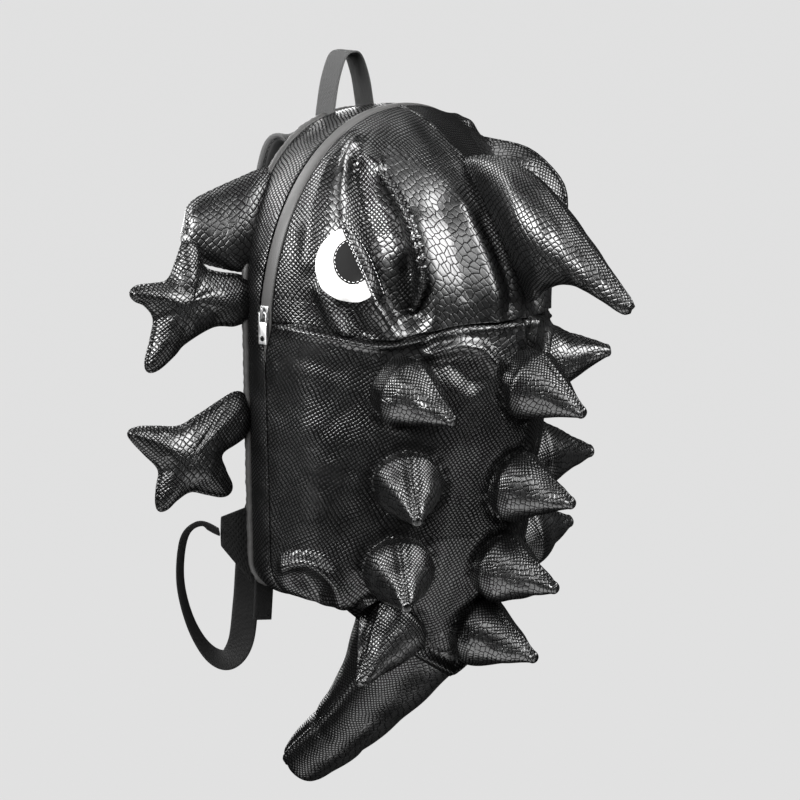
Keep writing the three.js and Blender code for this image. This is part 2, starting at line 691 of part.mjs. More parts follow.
// Lens-shaped section between an upper and a lower edge
function lensRing(upper, lower, across, thick, sides, power = 2) {
  const middle = upper.clone().add(lower).multiplyScalar(0.5);
  const rise = upper.clone().sub(lower).multiplyScalar(0.5);
  return steps(sides).slice(0, -1).map((s) => {
    const angle = 2 * Math.PI * s;
    const up = signedPower(Math.cos(angle), 2 / power);
    const out = (signedPower(Math.sin(angle), 2 / power) * thick) / 2;
    return middle.clone().addScaledVector(rise, up).addScaledVector(across, out);
  });
}

function crestHorn() {
  const across = new THREE.Vector3(1, 0, 0);
  const rings = HORN.map((row) => {
    const [top, low] = [at(0, row.topDepth, row.topZ), at(0, row.lowDepth, row.lowZ)];
    return lensRing(top, low, across, row.thick, 12);
  });
  return cut(ringSolid(rings), FRONT);
}

function brow(side) {
  const crest = BROW.map((row) => at(side * row.x, row.depth, row.z));
  const rings = BROW.map((row, i) => {
    const inward = at(0, BROW_AIM.depth, BROW_AIM.z).sub(crest[i]).normalize();
    const run = crest[Math.min(i + 1, crest.length - 1)].clone().sub(crest[Math.max(i - 1, 0)]).normalize();
    const across = inward.clone().cross(run).normalize();
    const foot = crest[i].clone().addScaledVector(inward, 2 * BROW_AIM.reach);
    return lensRing(crest[i], foot, across, row.thick, 10);
  });
  return cut(ringSolid(rings), FRONT, REAR);
}

function ear(side) {
  const across = at(side * -0.64, -0.77, 0);
  const rings = EAR.map((row) => {
    const [top, low] = [at(side * row.topX, -row.back, row.topZ), at(side * row.lowX, -row.back, row.lowZ)];
    return lensRing(top, low, across, row.thick, 12);
  });
  return cut(ringSolid(rings), REAR);
}

// A smooth closed outline through a table of angles and reaches
function lobes(table, count) {
  const points = table.map(({ angle, reach }) => {
    return new THREE.Vector3(PAW.stretch * reach * Math.cos(rad(angle)), reach * Math.sin(rad(angle)), 0);
  });
  return new THREE.CatmullRomCurve3(points, true).getSpacedPoints(count).slice(0, -1);
}

function paw(side, table, z) {
  const out = at(side * Math.cos(rad(PAW.sweep)), -Math.sin(rad(PAW.sweep)), 0);
  const across = at(side * Math.sin(rad(PAW.sweep)), Math.cos(rad(PAW.sweep)), 0);
  const palm = at(side * PAW.rootX, 0, z).addScaledVector(out, PAW.out);
  const edge = lobes(table, PAW.sides);
  const ring = (share, face) =>
    edge.map((p) => {
      const puff = (face * PAW.thick * Math.sqrt(1 - share ** 2)) / 2;
      const point = palm.clone().addScaledVector(out, p.x * share).addScaledVector(across, puff);
      return point.setZ(point.z + p.y * share);
    });
  const front = PAW_RINGS.toReversed().map((share) => ring(share, 1));
  const rear = PAW_RINGS.slice(1).map((share) => ring(share, -1));
  return cut(ringSolid([...front, ...rear]), REAR);
}

// Round sections square to a heading
function roundRing(centre, heading, radius, sides) {
  const side = new THREE.Vector3(0, 0, 1).cross(heading).normalize();
  const up = heading.clone().cross(side);
  return steps(sides).slice(0, -1).map((s) => {
    const angle = 2 * Math.PI * s;
    const point = centre.clone().addScaledVector(side, radius * Math.cos(angle));
    return point.addScaledVector(up, radius * Math.sin(angle));
  });
}

function spike(row, tailTool) {
  const base = spikeBase(row);
  const heading = at(row.x, row.forward, row.up).normalize();
  const root = roundRing(base.clone().addScaledVector(heading, -SPIKE.root), heading, SPIKE.radius * 0.94, SPIKE.sides);
  const rings = SPIKE_PROFILE.map((part) => {
    const centre = base.clone().addScaledVector(heading, part.along * row.length);
    return roundRing(centre, heading, part.radius * SPIKE.radius, SPIKE.sides);
  });
  return cut(ringSolid([root, ...rings]), FRONT, tailTool);
}

function spikeBase(row) {
  if (row.turn === undefined) return at(row.atX, row.atDepth, row.z);
  return row.turn === 0 ? tonguePoint(0, row.z) : bodyUnder(row.turn, row.z);
}

// Tail: sections square to its middle line
function tail(grow = 0) {
  const line = TAIL.map((row) => at(0, row.depth, row.z));
  const rings = TAIL.map((row, i) => {
    const run = line[Math.min(i + 1, line.length - 1)].clone().sub(line[Math.max(i - 1, 0)]).normalize();
    const up = i === 0 ? at(0, 1, 0) : run.clone().cross(new THREE.Vector3(1, 0, 0)).normalize();
    const reach = row.deep + grow;
    const [top, low] = [1, -1].map((sign) => line[i].clone().addScaledVector(up, sign * reach));
    return lensRing(top, low, new THREE.Vector3(1, 0, 0), 2 * (row.half + grow), 16, TAIL_POWER);
  });
  return ringSolid(rings);
}

// Tools that trim the tail: the body panel and the gusset, each a little fat
function fatBody() {
  const [hem, above] = [bodyGrid.at(-1), bodyGrid.at(-2)];
  const below = hem.map((point, j) => point.clone().lerp(above[j], -0.06));
  const grid = [...bodyGrid, below];
  return wallSolid(lifted(grid, 6), lifted(grid, -WALL - 2 * GAP));
}

// Ribbons: a flat section along a smooth line, its width along a heading at each row
function ribbon(line, width, thick, side, count) {
  const path = new THREE.CatmullRomCurve3(line.map((row) => at(side * row.x, row.depth, row.z)), false, "centripetal");
  const rings = steps(count).map((s) => {
    const centre = path.getPoint(s);
    const run = path.getTangent(s);
    const row = s * (line.length - 1);
    const [a, b] = [line[Math.floor(row)], line[Math.ceil(row)]];
    const heading = rad(mix(a.heading, b.heading, row % 1));
    const wide = at(-side * Math.cos(heading), Math.sin(heading), 0);
    wide.addScaledVector(run, -wide.dot(run)).normalize();
    const flat = run.clone().cross(wide).normalize();
    return [[1, 1], [-1, 1], [-1, -1], [1, -1]].map(([w, t]) => {
      const point = centre.clone().addScaledVector(wide, (w * width) / 2);
      return point.addScaledVector(flat, (t * thick) / 2);
    });
  });
  return ringSolid(rings);
}

function grabLoop() {
  const top = LOOP.top - LOOP.thick / 2;
  const line = [
    { x: -31, z: 433 },
    { x: -29, z: 443 },
    { x: -23, z: 466 },
    { x: -12, z: top - 4 },
    { x: 0, z: top },
    { x: 12, z: top - 4 },
    { x: 23, z: 466 },
    { x: 29, z: 443 },
    { x: 31, z: 433 },
  ].map((row) => ({ ...row, depth: 0, heading: 90 }));
  return cut(ribbon(line, LOOP.width, LOOP.thick, 1, 20), REAR);
}

function shoulderStrap(side) {
  const path = new THREE.CatmullRomCurve3(STRAP_LINE.map((row) => at(side * row.x, row.depth, row.z)));
  const rings = steps(18).map((s) => {
    const centre = path.getPoint(s);
    const run = path.getTangent(s);
    const across = new THREE.Vector3(1, 0, 0).addScaledVector(run, -run.x).normalize();
    const flat = run.clone().cross(across).normalize().multiplyScalar(STRAP.thick / 2);
    const row = s * (STRAP_LINE.length - 1);
    const wide = mix(STRAP_LINE[Math.floor(row)].wide, STRAP_LINE[Math.ceil(row)].wide, row % 1);
    return lensRing(centre.clone().add(flat), centre.clone().sub(flat), across, wide, 8, 3);
  });
  return ringSolid(rings);
}

function ladderLock(side) {
  const row = STRAP_LINE.at(-1);
  const top = row.z - 2 * GAP;
  const y = -row.depth;
  const half = LOCK.wide / 2;
  const x = side * (row.x + 1);
  const slot = 3.4;
  const frame = box([x - half, y - LOCK.thick / 2, top - LOCK.tall], [x + half, y + LOCK.thick / 2, top]);
  const window = (low) => box([x - half + 4, y - LOCK.thick, low], [x + half - 4, y + LOCK.thick, low + slot]);
  return cut(frame, window(top - 2.6 - slot), window(top - LOCK.tall + 2.2));
}

// Corner tab: a flat triangle with a blunt tip, sewn into the back seam
function strapAnchor(side) {
  const { rootLowZ, rootTopZ, tipX, tipBack, tipLowZ, tipTopZ, thick } = ANCHOR;
  const rootX = BAG.halfWidth - GUSSET.flare - 12;
  const corners = (shift) => [
    at(side * rootX, -shift, rootLowZ),
    at(side * tipX, -tipBack - shift, tipLowZ),
    at(side * tipX, -tipBack - shift, tipTopZ),
    at(side * rootX, -shift, rootTopZ),
  ];
  return cut(ringSolid([corners(0), corners(thick)]), REAR);
}

// Eyes: patches that follow the head, each a little proud of what it is sewn onto
function eyePlace(side, across, up, lift) {
  const turn = side * (EYE.turn - across / MM_PER_TURN);
  const z = EYE.z + up;
  const step = 0.5;
  const point = headPoint(turn, z);
  const along = headPoint(turn + step, z).sub(headPoint(turn - step, z));
  const rise = headPoint(turn, z + step).sub(headPoint(turn, z - step));
  const normal = rise.cross(along).normalize();
  if (normal.dot(at(side, 0.5, 0)) < 0) normal.negate();
  return point.addScaledVector(normal, lift + relief("head", turn, z));
}

// Points of a disc cut off by the lid, as across and up from the eye's middle
function cutDisc(radius, sides) {
  const lid = rad(EYE.lidAngle);
  const beyond = [Math.sin(lid), Math.cos(lid)];
  return steps(sides).slice(0, -1).map((s) => {
    const angle = 2 * Math.PI * s;
    const [a, u] = [radius * Math.cos(angle), radius * Math.sin(angle)];
    const over = Math.max(a * beyond[0] + u * beyond[1] - EYE.lidWidth / 2, 0);
    return [a - over * beyond[0], u - over * beyond[1]];
  });
}

function eyePatch(side, radius, lift, thick) {
  const edge = cutDisc(radius, 16);
  const middle = [-radius * 0.28, -radius * 0.1];
  const ring = (share, height) =>
    edge.map(([a, u]) => eyePlace(side, mix(middle[0], a, share), mix(middle[1], u, share), height));
  return ringSolid([ring(0.5, lift + thick), ring(1, lift + thick), ring(1, lift), ring(0.5, lift)]);
}

function eyelid(side) {
  const lid = rad(EYE.lidAngle);
  const half = EYE.radius * 1.12;
  const rings = steps(8).map((s) => {
    const run = mix(-half, half, s);
    const off = EYE.lidWidth + 3 * GAP;
    const [a, u] = [off * Math.sin(lid) + run * Math.cos(lid), off * Math.cos(lid) - run * Math.sin(lid)];
    const taper = 0.35 + 0.65 * Math.sqrt(Math.max(1 - (run / (half * 1.02)) ** 2, 0));
    return [[-1, 0], [-0.8, 0.75], [0, 1], [0.8, 0.75], [1, 0]].map(([w, h]) => {
      const reach = (w * EYE.lidWidth * taper) / 2;
      const lift = 4 * GAP + h * EYE.lidHeight * taper;
      return eyePlace(side, a + reach * Math.sin(lid), u + reach * Math.cos(lid), lift);
    });
  });
  return ringSolid(rings);
}

// The assembly
const bag = new THREE.Group();
bag.position.z = -(LOOP.top - LOOP.thick);

function add(name, geometry, material) {
  geometry.computeVertexNormals();
  const mesh = new THREE.Mesh(geometry, material);
  mesh.name = name;
  bag.add(mesh);
}

const SIDES = [
  { word: "left", side: -1 },
  { word: "right", side: 1 },
];

add("head_shell", panel(headGrid, 0, GAP / 2), MATERIALS.leather);
add("body_shell", panel(bodyGrid, 0, -GAP / 2), MATERIALS.leather);
add("gusset", gusset(), MATERIALS.leather);
add("back_binding", binding(), MATERIALS.binding);
add("back_panel", backPanel(), MATERIALS.padding);
add("zipper_tape", zipperTape(), MATERIALS.tape);
add("zip_slider", zipSlider(), MATERIALS.metal);
add("zip_pull", zipPull(), MATERIALS.metal);
add("grab_loop", grabLoop(), MATERIALS.loop);
add("crest_horn", crestHorn(), MATERIALS.leather);
add("tail", cut(tail(), fatBody(), REAR), MATERIALS.leather);
for (const row of SPIKES) add(row.name, spike(row, tail(GAP)), MATERIALS.leather);
for (const { word, side } of SIDES) {
  add(`brow_${word}`, brow(side), MATERIALS.leather);
  add(`ear_${word}`, ear(side), MATERIALS.leather);
  add(`paw_front_${word}`, paw(side, PAW_FRONT, PAW.frontZ), MATERIALS.leather);
  add(`paw_rear_${word}`, paw(side, PAW_REAR, PAW.rearZ), MATERIALS.leather);
  add(`eye_white_${word}`, eyePatch(side, EYE.radius, 3 * GAP, EYE.thick), MATERIALS.white);
  add(`eye_pupil_${word}`, eyePatch(side, EYE.pupil, 4 * GAP + EYE.thick, EYE.thick), MATERIALS.black);
  add(`eyelid_${word}`, eyelid(side), MATERIALS.leather);
  add(`shoulder_strap_${word}`, shoulderStrap(side), MATERIALS.padding);
  add(`ladder_lock_${word}`, ladderLock(side), MATERIALS.plastic);
  add(`strap_anchor_${word}`, strapAnchor(side), MATERIALS.leather);
  const { webbing, webbingThick } = STRAP;
  add(`webbing_${word}`, ribbon(WEBBING_LINE, webbing, webbingThick, side, 34), MATERIALS.webbing);
  add(`webbing_end_${word}`, ribbon(WEBBING_END_LINE, webbing, webbingThick, side, 10), MATERIALS.webbing);
}

const backpack = new THREE.Group();
backpack.add(bag);
export default backpack;
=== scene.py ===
"""Looks of a creature-shaped backpack in black scaled leather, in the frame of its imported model."""

import logging
import math
from collections.abc import Sequence
from dataclasses import dataclass, field
from enum import Enum

import bpy
import numpy as np
from mathutils import Matrix, Vector


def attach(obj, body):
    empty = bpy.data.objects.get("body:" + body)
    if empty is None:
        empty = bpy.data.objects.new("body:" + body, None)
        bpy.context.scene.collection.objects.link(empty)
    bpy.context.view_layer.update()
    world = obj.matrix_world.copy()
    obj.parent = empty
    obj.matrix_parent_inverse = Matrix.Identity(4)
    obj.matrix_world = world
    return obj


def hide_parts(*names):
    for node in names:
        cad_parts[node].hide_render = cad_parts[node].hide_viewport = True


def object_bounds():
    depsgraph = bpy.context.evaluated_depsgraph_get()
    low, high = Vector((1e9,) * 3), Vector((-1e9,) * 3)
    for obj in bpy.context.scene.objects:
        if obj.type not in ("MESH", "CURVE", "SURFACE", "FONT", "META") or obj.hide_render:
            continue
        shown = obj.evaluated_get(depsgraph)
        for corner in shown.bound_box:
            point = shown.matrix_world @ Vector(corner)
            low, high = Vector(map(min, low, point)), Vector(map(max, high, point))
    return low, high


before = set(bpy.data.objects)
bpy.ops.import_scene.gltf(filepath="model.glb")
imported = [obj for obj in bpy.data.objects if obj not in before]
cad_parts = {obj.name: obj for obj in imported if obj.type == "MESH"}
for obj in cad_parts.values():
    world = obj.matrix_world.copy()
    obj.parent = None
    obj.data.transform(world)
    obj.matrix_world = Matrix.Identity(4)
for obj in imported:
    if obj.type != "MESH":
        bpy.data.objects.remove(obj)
CAD_LOW, CAD_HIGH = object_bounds()

Array = np.ndarray
Material = bpy.types.Material
Object = bpy.types.Object
Pair = tuple[float, float]
Triple = tuple[float, float, float]
Table = tuple[tuple[float, ...], ...]
log = logging.getLogger("backpack")

HANG_Z = 489.6
TURN_MM = 2.9
UV_PER_MM = 0.01
HIDE_UV = "hide"
PANELS_APART = 61.0


class Side(Enum):
    """The bag's own left and right, with the sign of X on each."""

    LEFT = -1
    RIGHT = 1

    @property
    def word(self) -> str:
        """Name used in node names."""
        return self.name.lower()

    @property
    def flip(self) -> Array:
        """Factors that mirror places onto this side."""
        return np.array([self.value, 1, 1])


# Small maths


def to_frame(points: Array) -> Array:
    """Turns across, depth and height in millimetres into the part's frame."""
    across, depth, height = np.moveaxis(np.asarray(points, float), -1, 0)
    return np.stack([across, -depth, height - HANG_Z], -1) / 1000


def smooth_step(value: Array, low: float, high: float) -> Array:
    """Smooth rise from 0 at low to 1 at high."""
    share = np.clip((np.asarray(value, float) - low) / (high - low), 0, 1)
    return share * share * (3 - 2 * share)


def signed_power(value: Array, power: float) -> Array:
    """Power of a size, with its sign kept."""
    return np.sign(value) * np.abs(value) ** power


def unit(vectors: Array) -> Array:
    """Vectors of length one."""
    size = np.linalg.norm(vectors, axis=-1, keepdims=True)
    return vectors / np.maximum(size, 1e-9)


def smooth_rows(rows: Sequence[Sequence[float]], places: Array) -> Array:
    """Smooth line through the rows of a table.

    Args:
        rows: The table, one point to a row.
        places: Shares from 0 at the first row to 1 at the last.

    Returns:
        One point for each place.
    """
    table = np.asarray(rows, float)
    padded = np.vstack([2 * table[0] - table[1], table, 2 * table[-1] - table[-2]])
    spot = np.asarray(places, float) * (len(table) - 1)
    first = np.clip(spot.astype(int), 0, len(table) - 2)
    t = (spot - first)[:, None]
    a, b, c, d = (padded[first + step] for step in range(4))
    cubic = (3 * b - a - 3 * c + d) * t**3
    square = (2 * a - 5 * b + 4 * c - d) * t**2
    return 0.5 * (2 * b + (c - a) * t + square + cubic)


def even_line(points: Array, count: int, closed: bool = False) -> Array:
    """Points at even distances along a line.

    Args:
        points: The line.
        count: How many points to give.
        closed: Whether the line runs back to its start, which is then not repeated.

    Returns:
        The evenly spaced points.
    """
    line = np.vstack([points, points[:1]]) if closed else points
    run = run_lengths(line)
    spots = np.linspace(0, run[-1], count + 1)[:-1] if closed else np.linspace(0, run[-1], count)
    return np.stack([np.interp(spots, run, line[:, k]) for k in range(line.shape[1])], -1)


def bell(offset: Array, width: float) -> Array:
    """Bell curve of height one."""
    return np.exp(-((offset / width) ** 2))


def ring_angles(count: int) -> Array:
    """Angles at even steps round a full ring."""
    return np.linspace(0, 2 * np.pi, count, endpoint=False)


def run_lengths(line: Array) -> Array:
    """Way along a line at each of its points."""
    return np.concatenate([[0], np.cumsum(np.linalg.norm(np.diff(line, axis=0), axis=-1))])


def pleats(run: Array, long: float, short: float, first: float, second: float, share: float = 0.6) -> Array:
    """Two waves along a seam, by their lengths and starts."""
    return np.sin(2 * np.pi * run / long + first) + share * np.sin(2 * np.pi * run / short + second)


@dataclass(frozen=True)
class Ripple:
    """Uneven waves over a surface, the same each time for one seed."""

    length: float
    seed: int
    waves: int = 10

    def at(self, u: Array, v: Array) -> Array:
        """Height of the waves.

        Args:
            u: First distance in millimetres.
            v: Second distance in millimetres.

        Returns:
            Heights of about one either way.
        """
        chance = np.random.default_rng(self.seed)
        total = np.zeros(np.broadcast(u, v).shape)
        for _ in range(self.waves):
            angle, phase = chance.uniform(0, 2 * np.pi, 2)
            pitch = 2 * np.pi / (self.length * chance.uniform(0.6, 1.7))
            total += np.sin(pitch * (u * np.cos(angle) + v * np.sin(angle)) + phase)
        return total / math.sqrt(self.waves)


@dataclass(frozen=True)
class Fold:
    """A ridge or hollow along a line of places on a panel."""

    line: Table
    width: float
    height: float

    def lift(self, turn: Array, z: Array) -> Array:
        """Lift of the fold.

        Args:
            turn: Degrees round the bag, of either side.
            z: Heights in millimetres.

        Returns:
            Lifts in millimetres.
        """
        place = np.stack(np.broadcast_arrays(np.abs(turn) * TURN_MM, z), -1).astype(float)
        nearest = np.full(place.shape[:-1], np.inf)
        corners = [np.array([corner[0] * TURN_MM, corner[1]]) for corner in self.line]
        for a, b in zip(corners, corners[1:]):
            run = b - a
            share = np.clip((place - a) @ run / (run @ run), 0, 1)
            nearest = np.minimum(nearest, np.linalg.norm(place - a - share[..., None] * run, axis=-1))
        return self.height * bell(nearest, self.width)


# Meshes from grids of points


def solid(name: str, places: Sequence, faces: Sequence, smooth: bool = True) -> Object:
    """A mesh object in the scene.

    Args:
        name: Name of the object.
        places: Corner places in metres.
        faces: Corner numbers of each face.
        smooth: Whether the faces are shaded as one surface.

    Returns:
        The object.
    """
    data = bpy.data.meshes.new(name)
    data.from_pydata(places, [], faces)
    data.polygons.foreach_set("use_smooth", np.full(len(data.polygons), smooth))
    data.update()
    made = bpy.data.objects.new(name, data)
    bpy.context.scene.collection.objects.link(made)
    return made


def grid_faces(rows: int, columns: int, closed: bool) -> tuple[Array, Array, Array]:
    """Faces between the points of a grid.

    Args:
        rows: Rows of points.
        columns: Columns of points.
        closed: Whether the rows are rings.

    Returns:
        Row and column of each face, and its four corner numbers.
    """
    spans = columns if closed else columns - 1
    r, c = (k.ravel() for k in np.meshgrid(np.arange(rows - 1), np.arange(spans), indexing="ij"))
    after = (c + 1) % columns
    upper, lower = r * columns, (r + 1) * columns
    return r, c, np.stack([upper + c, upper + after, lower + after, lower + c], 1)


@dataclass
class Patch:
    """A grid of places over one piece, with flat cloth distances and painted marks."""

    points: Array
    uv: Array
    closed: bool = False
    capped: bool = False
    inside: Array | None = None
    cuts: tuple[int, ...] = ()
    marks: dict[str, Array] = field(default_factory=dict)

    def facing(self) -> tuple[Array, float]:
        """Directions square to the grid, and whether they point out.

        Returns:
            Unit vectors, and 1 or -1 to turn them outwards.
        """
        if self.closed:
            across = np.roll(self.points, -1, 1) - np.roll(self.points, 1, 1)
        else:
            across = np.gradient(self.points, axis=1)
        square = np.cross(across, np.gradient(self.points, axis=0))
        middle = self.points.mean((0, 1)) if self.inside is None else self.inside
        sign = 1.0 if np.sum(square * (self.points - middle)) > 0 else -1.0
        return unit(square), sign

    def lift(self, height: Array) -> None:
        """Moves the points outwards by millimetres."""
        square, sign = self.facing()
        self.points = self.points + square * sign * np.asarray(height)[..., None]

    def build(self, name: str) -> Object:
        """Makes the mesh object.

        Args:
            name: Name of the object.

        Returns:
            The object, linked to the scene.
        """
        rows, columns = self.points.shape[:2]
        places = to_frame(self.points).reshape(-1, 3)
        r, c, quads = grid_faces(rows, columns, self.closed)
        if self.cuts:
            flat = self.pattern(r, c)
        else:
            flat = np.stack([self.uv[r, c], self.uv[r, c + 1], self.uv[r + 1, c + 1], self.uv[r + 1, c]], 1)
        faces, corners = [quads], [flat.reshape(-1, 2)]
        if self.capped:
            for row in (0, rows - 1):
                places = np.vstack([places, places[row * columns : (row + 1) * columns].mean(0)])
                ring = row * columns + np.arange(columns)
                tip = np.full(columns, len(places) - 1)
                ahead, back = (np.roll(ring, -1), ring) if row else (ring, np.roll(ring, -1))
                faces.append(np.stack([back, ahead, tip], 1))
                middle = np.broadcast_to(self.uv[row].mean(0), (columns, 2))
                corners.append(np.stack([self.uv[row, :columns]] * 2 + [middle], 1).reshape(-1, 2))
        if self.volume(places, faces) < 0:
            faces = [face[:, ::-1] for face in faces]
            sizes = [face.shape[1] for face in faces]
            corners = [c.reshape(-1, n, 2)[:, ::-1].reshape(-1, 2) for c, n in zip(corners, sizes)]
        return self.mesh(name, places, faces, np.vstack(corners))

    def pattern(self, r: Array, c: Array) -> Array:
        """Flat cutting pattern of the grid, found on a coarse grid and filled in between.

        Args:
            r: Row of each face.
            c: Column of each face.

        Returns:
            A flat place for each corner of each face, in millimetres.
        """
        rows, columns = self.points.shape[:2]
        row_ids = np.unique(np.linspace(0, rows - 1, rows // 4 + 2).round().astype(int))
        even = np.linspace(0, columns - 1, columns // 4 + 2).round().astype(int)
        column_ids = np.unique(np.concatenate([even, self.cuts]))
        coarse = self.points[np.ix_(row_ids, column_ids)]
        cuts = tuple(np.searchsorted(column_ids, self.cuts).tolist())
        corners = pattern_uv(coarse, self.closed, cuts)
        if self.closed:
            column_ids = np.append(column_ids, columns)
        i = np.searchsorted(row_ids, r, side="right") - 1
        j = np.searchsorted(column_ids, c, side="right") - 1
        box = corners[i, j]
        high, wide = row_ids[i + 1] - row_ids[i], column_ids[j + 1] - column_ids[j]
        flat = []
        for down, along in ((0, 0), (0, 1), (1, 1), (1, 0)):
            v = ((r + down - row_ids[i]) / high)[:, None]
            u = ((c + along - column_ids[j]) / wide)[:, None]
            upper = box[:, 0] * (1 - u) + box[:, 1] * u
            lower = box[:, 3] * (1 - u) + box[:, 2] * u
            flat.append(upper * (1 - v) + lower * v)
        return np.stack(flat, 1)

    def volume(self, places: Array, faces: list[Array]) -> float:
        """Signed space under the faces, seen from the inside point.

        Args:
            places: Corner places in metres.
            faces: Groups of faces as corner numbers.

        Returns:
            A number above 0 where the faces point out.
        """
        middle = places.mean(0) if self.inside is None else to_frame(self.inside)
        total = 0.0
        for group in faces:
            first, *others = (places[corner] - middle for corner in group.T)
            for a, b in zip(others, others[1:]):
                total += float(np.sum(first * np.cross(a, b)))
        return total

    def mesh(self, name: str, places: Array, faces: list[Array], corners: Array) -> Object:
        """Fills a mesh with corners, faces, flat places and marks.

        Args:
            name: Name of the object.
            places: Corner places in metres.
            faces: Groups of faces as corner numbers.
            corners: Flat place of each face corner, in millimetres.

        Returns:
            The object.
        """
        made = solid(name, places.tolist(), [face for group in faces for face in group.tolist()])
        data = made.data
        layer = data.uv_layers.new(name=HIDE_UV)
        layer.data.foreach_set("uv", (corners * UV_PER_MM).astype(np.float32).ravel())
        for mark, values in self.marks.items():
            full = np.concatenate([np.ravel(values), np.zeros(len(places) - np.size(values))])
            attribute = data.attributes.new(mark, "FLOAT", "POINT")
            attribute.data.foreach_set("value", full.astype(np.float32))
        return made


def cloth_uv(points: Array, start_column: int = 0) -> Array:
    """Distances over a grid, along its rows and its columns.

    Args:
        points: The grid.
        start_column: Column that distances along a row are counted from.

    Returns:
        A flat place for each grid point, in millimetres.
    """
    step_u = np.linalg.norm(np.diff(points, axis=1), axis=-1)
    u = np.concatenate([np.zeros((len(points), 1)), np.cumsum(step_u, 1)], 1)
    u = u - u[:, start_column : start_column + 1]
    step_v = np.linalg.norm(np.diff(points, axis=0), axis=-1)
    v = np.concatenate([np.zeros((1, points.shape[1])), np.cumsum(step_v, 0)], 0)
    return np.stack([u, v], -1)


def pattern_uv(points: Array, closed: bool, cuts: tuple[int, ...]) -> Array:
    """Flat cutting pattern of a grid, as cloth would be cut for it.

    Args:
        points: The grid.
        closed: Whether its rows are rings.
        cuts: Columns that the cloth is cut along.

    Returns:
        For each row and column of faces, a flat place for each corner, in millimetres.
    """
    rows, columns = points.shape[:2]
    _, c, quads = grid_faces(rows, columns, closed)
    made = solid("pattern", to_frame(points).reshape(-1, 3).tolist(), quads.tolist())
    data = made.data
    ends = np.empty(2 * len(data.edges), np.int32)
    data.edges.foreach_get("vertices", ends)
    column = ends.reshape(-1, 2) % columns
    seams = np.isin(column[:, 0], cuts) & (column[:, 0] == column[:, 1])
    data.edges.foreach_set("use_seam", seams)
    data.uv_layers.new(name=HIDE_UV)
    bpy.context.view_layer.objects.active = made
    bpy.ops.object.mode_set(mode="EDIT")
    bpy.ops.mesh.select_all(action="SELECT")
    bpy.ops.uv.unwrap(method="MINIMUM_STRETCH", iterations=10, margin=0.001)
    bpy.ops.object.mode_set(mode="OBJECT")
    flat = np.empty(2 * len(data.loops), np.float32)
    data.uv_layers.active.data.foreach_get("uv", flat)
    bpy.data.objects.remove(made)
    corners = flat.reshape(-1, 4, 2).astype(float)
    plane = corners[..., 0] + 1j * corners[..., 1]
    panel = np.searchsorted(sorted(cuts), c, side="right")
    if closed:
        panel = panel % len(cuts)
    places = points.reshape(-1, 3)
    rise = np.linalg.norm(places[quads[:, 3]] - places[quads[:, 0]], axis=-1)
    for number in np.unique(panel):
        chosen = panel == number
        moved = plane[chosen, 3] - plane[chosen, 0]
        turn = np.sum(np.conj(moved) * 1j * rise[chosen]) / np.sum(np.abs(moved) ** 2)
        plane[chosen] = plane[chosen] * turn + PANELS_APART * number
    return np.stack([plane.real, plane.imag], -1).reshape(rows - 1, -1, 4, 2)


def ring_uv(points: Array) -> Array:
    """Flat places for a grid whose rows are closed rings.

    Args:
        points: The grid.

    Returns:
        One more column than the grid has, so that the last closes the ring.
    """
    uv = cloth_uv(np.concatenate([points, points[:, :1]], 1))
    uv[..., 0] = uv[..., 0].mean(0)
    return uv


def sleeve(points: Array) -> Patch:
    """A grid of closed rings with both ends capped."""
    return Patch(points, ring_uv(points), closed=True, capped=True)


# Filling


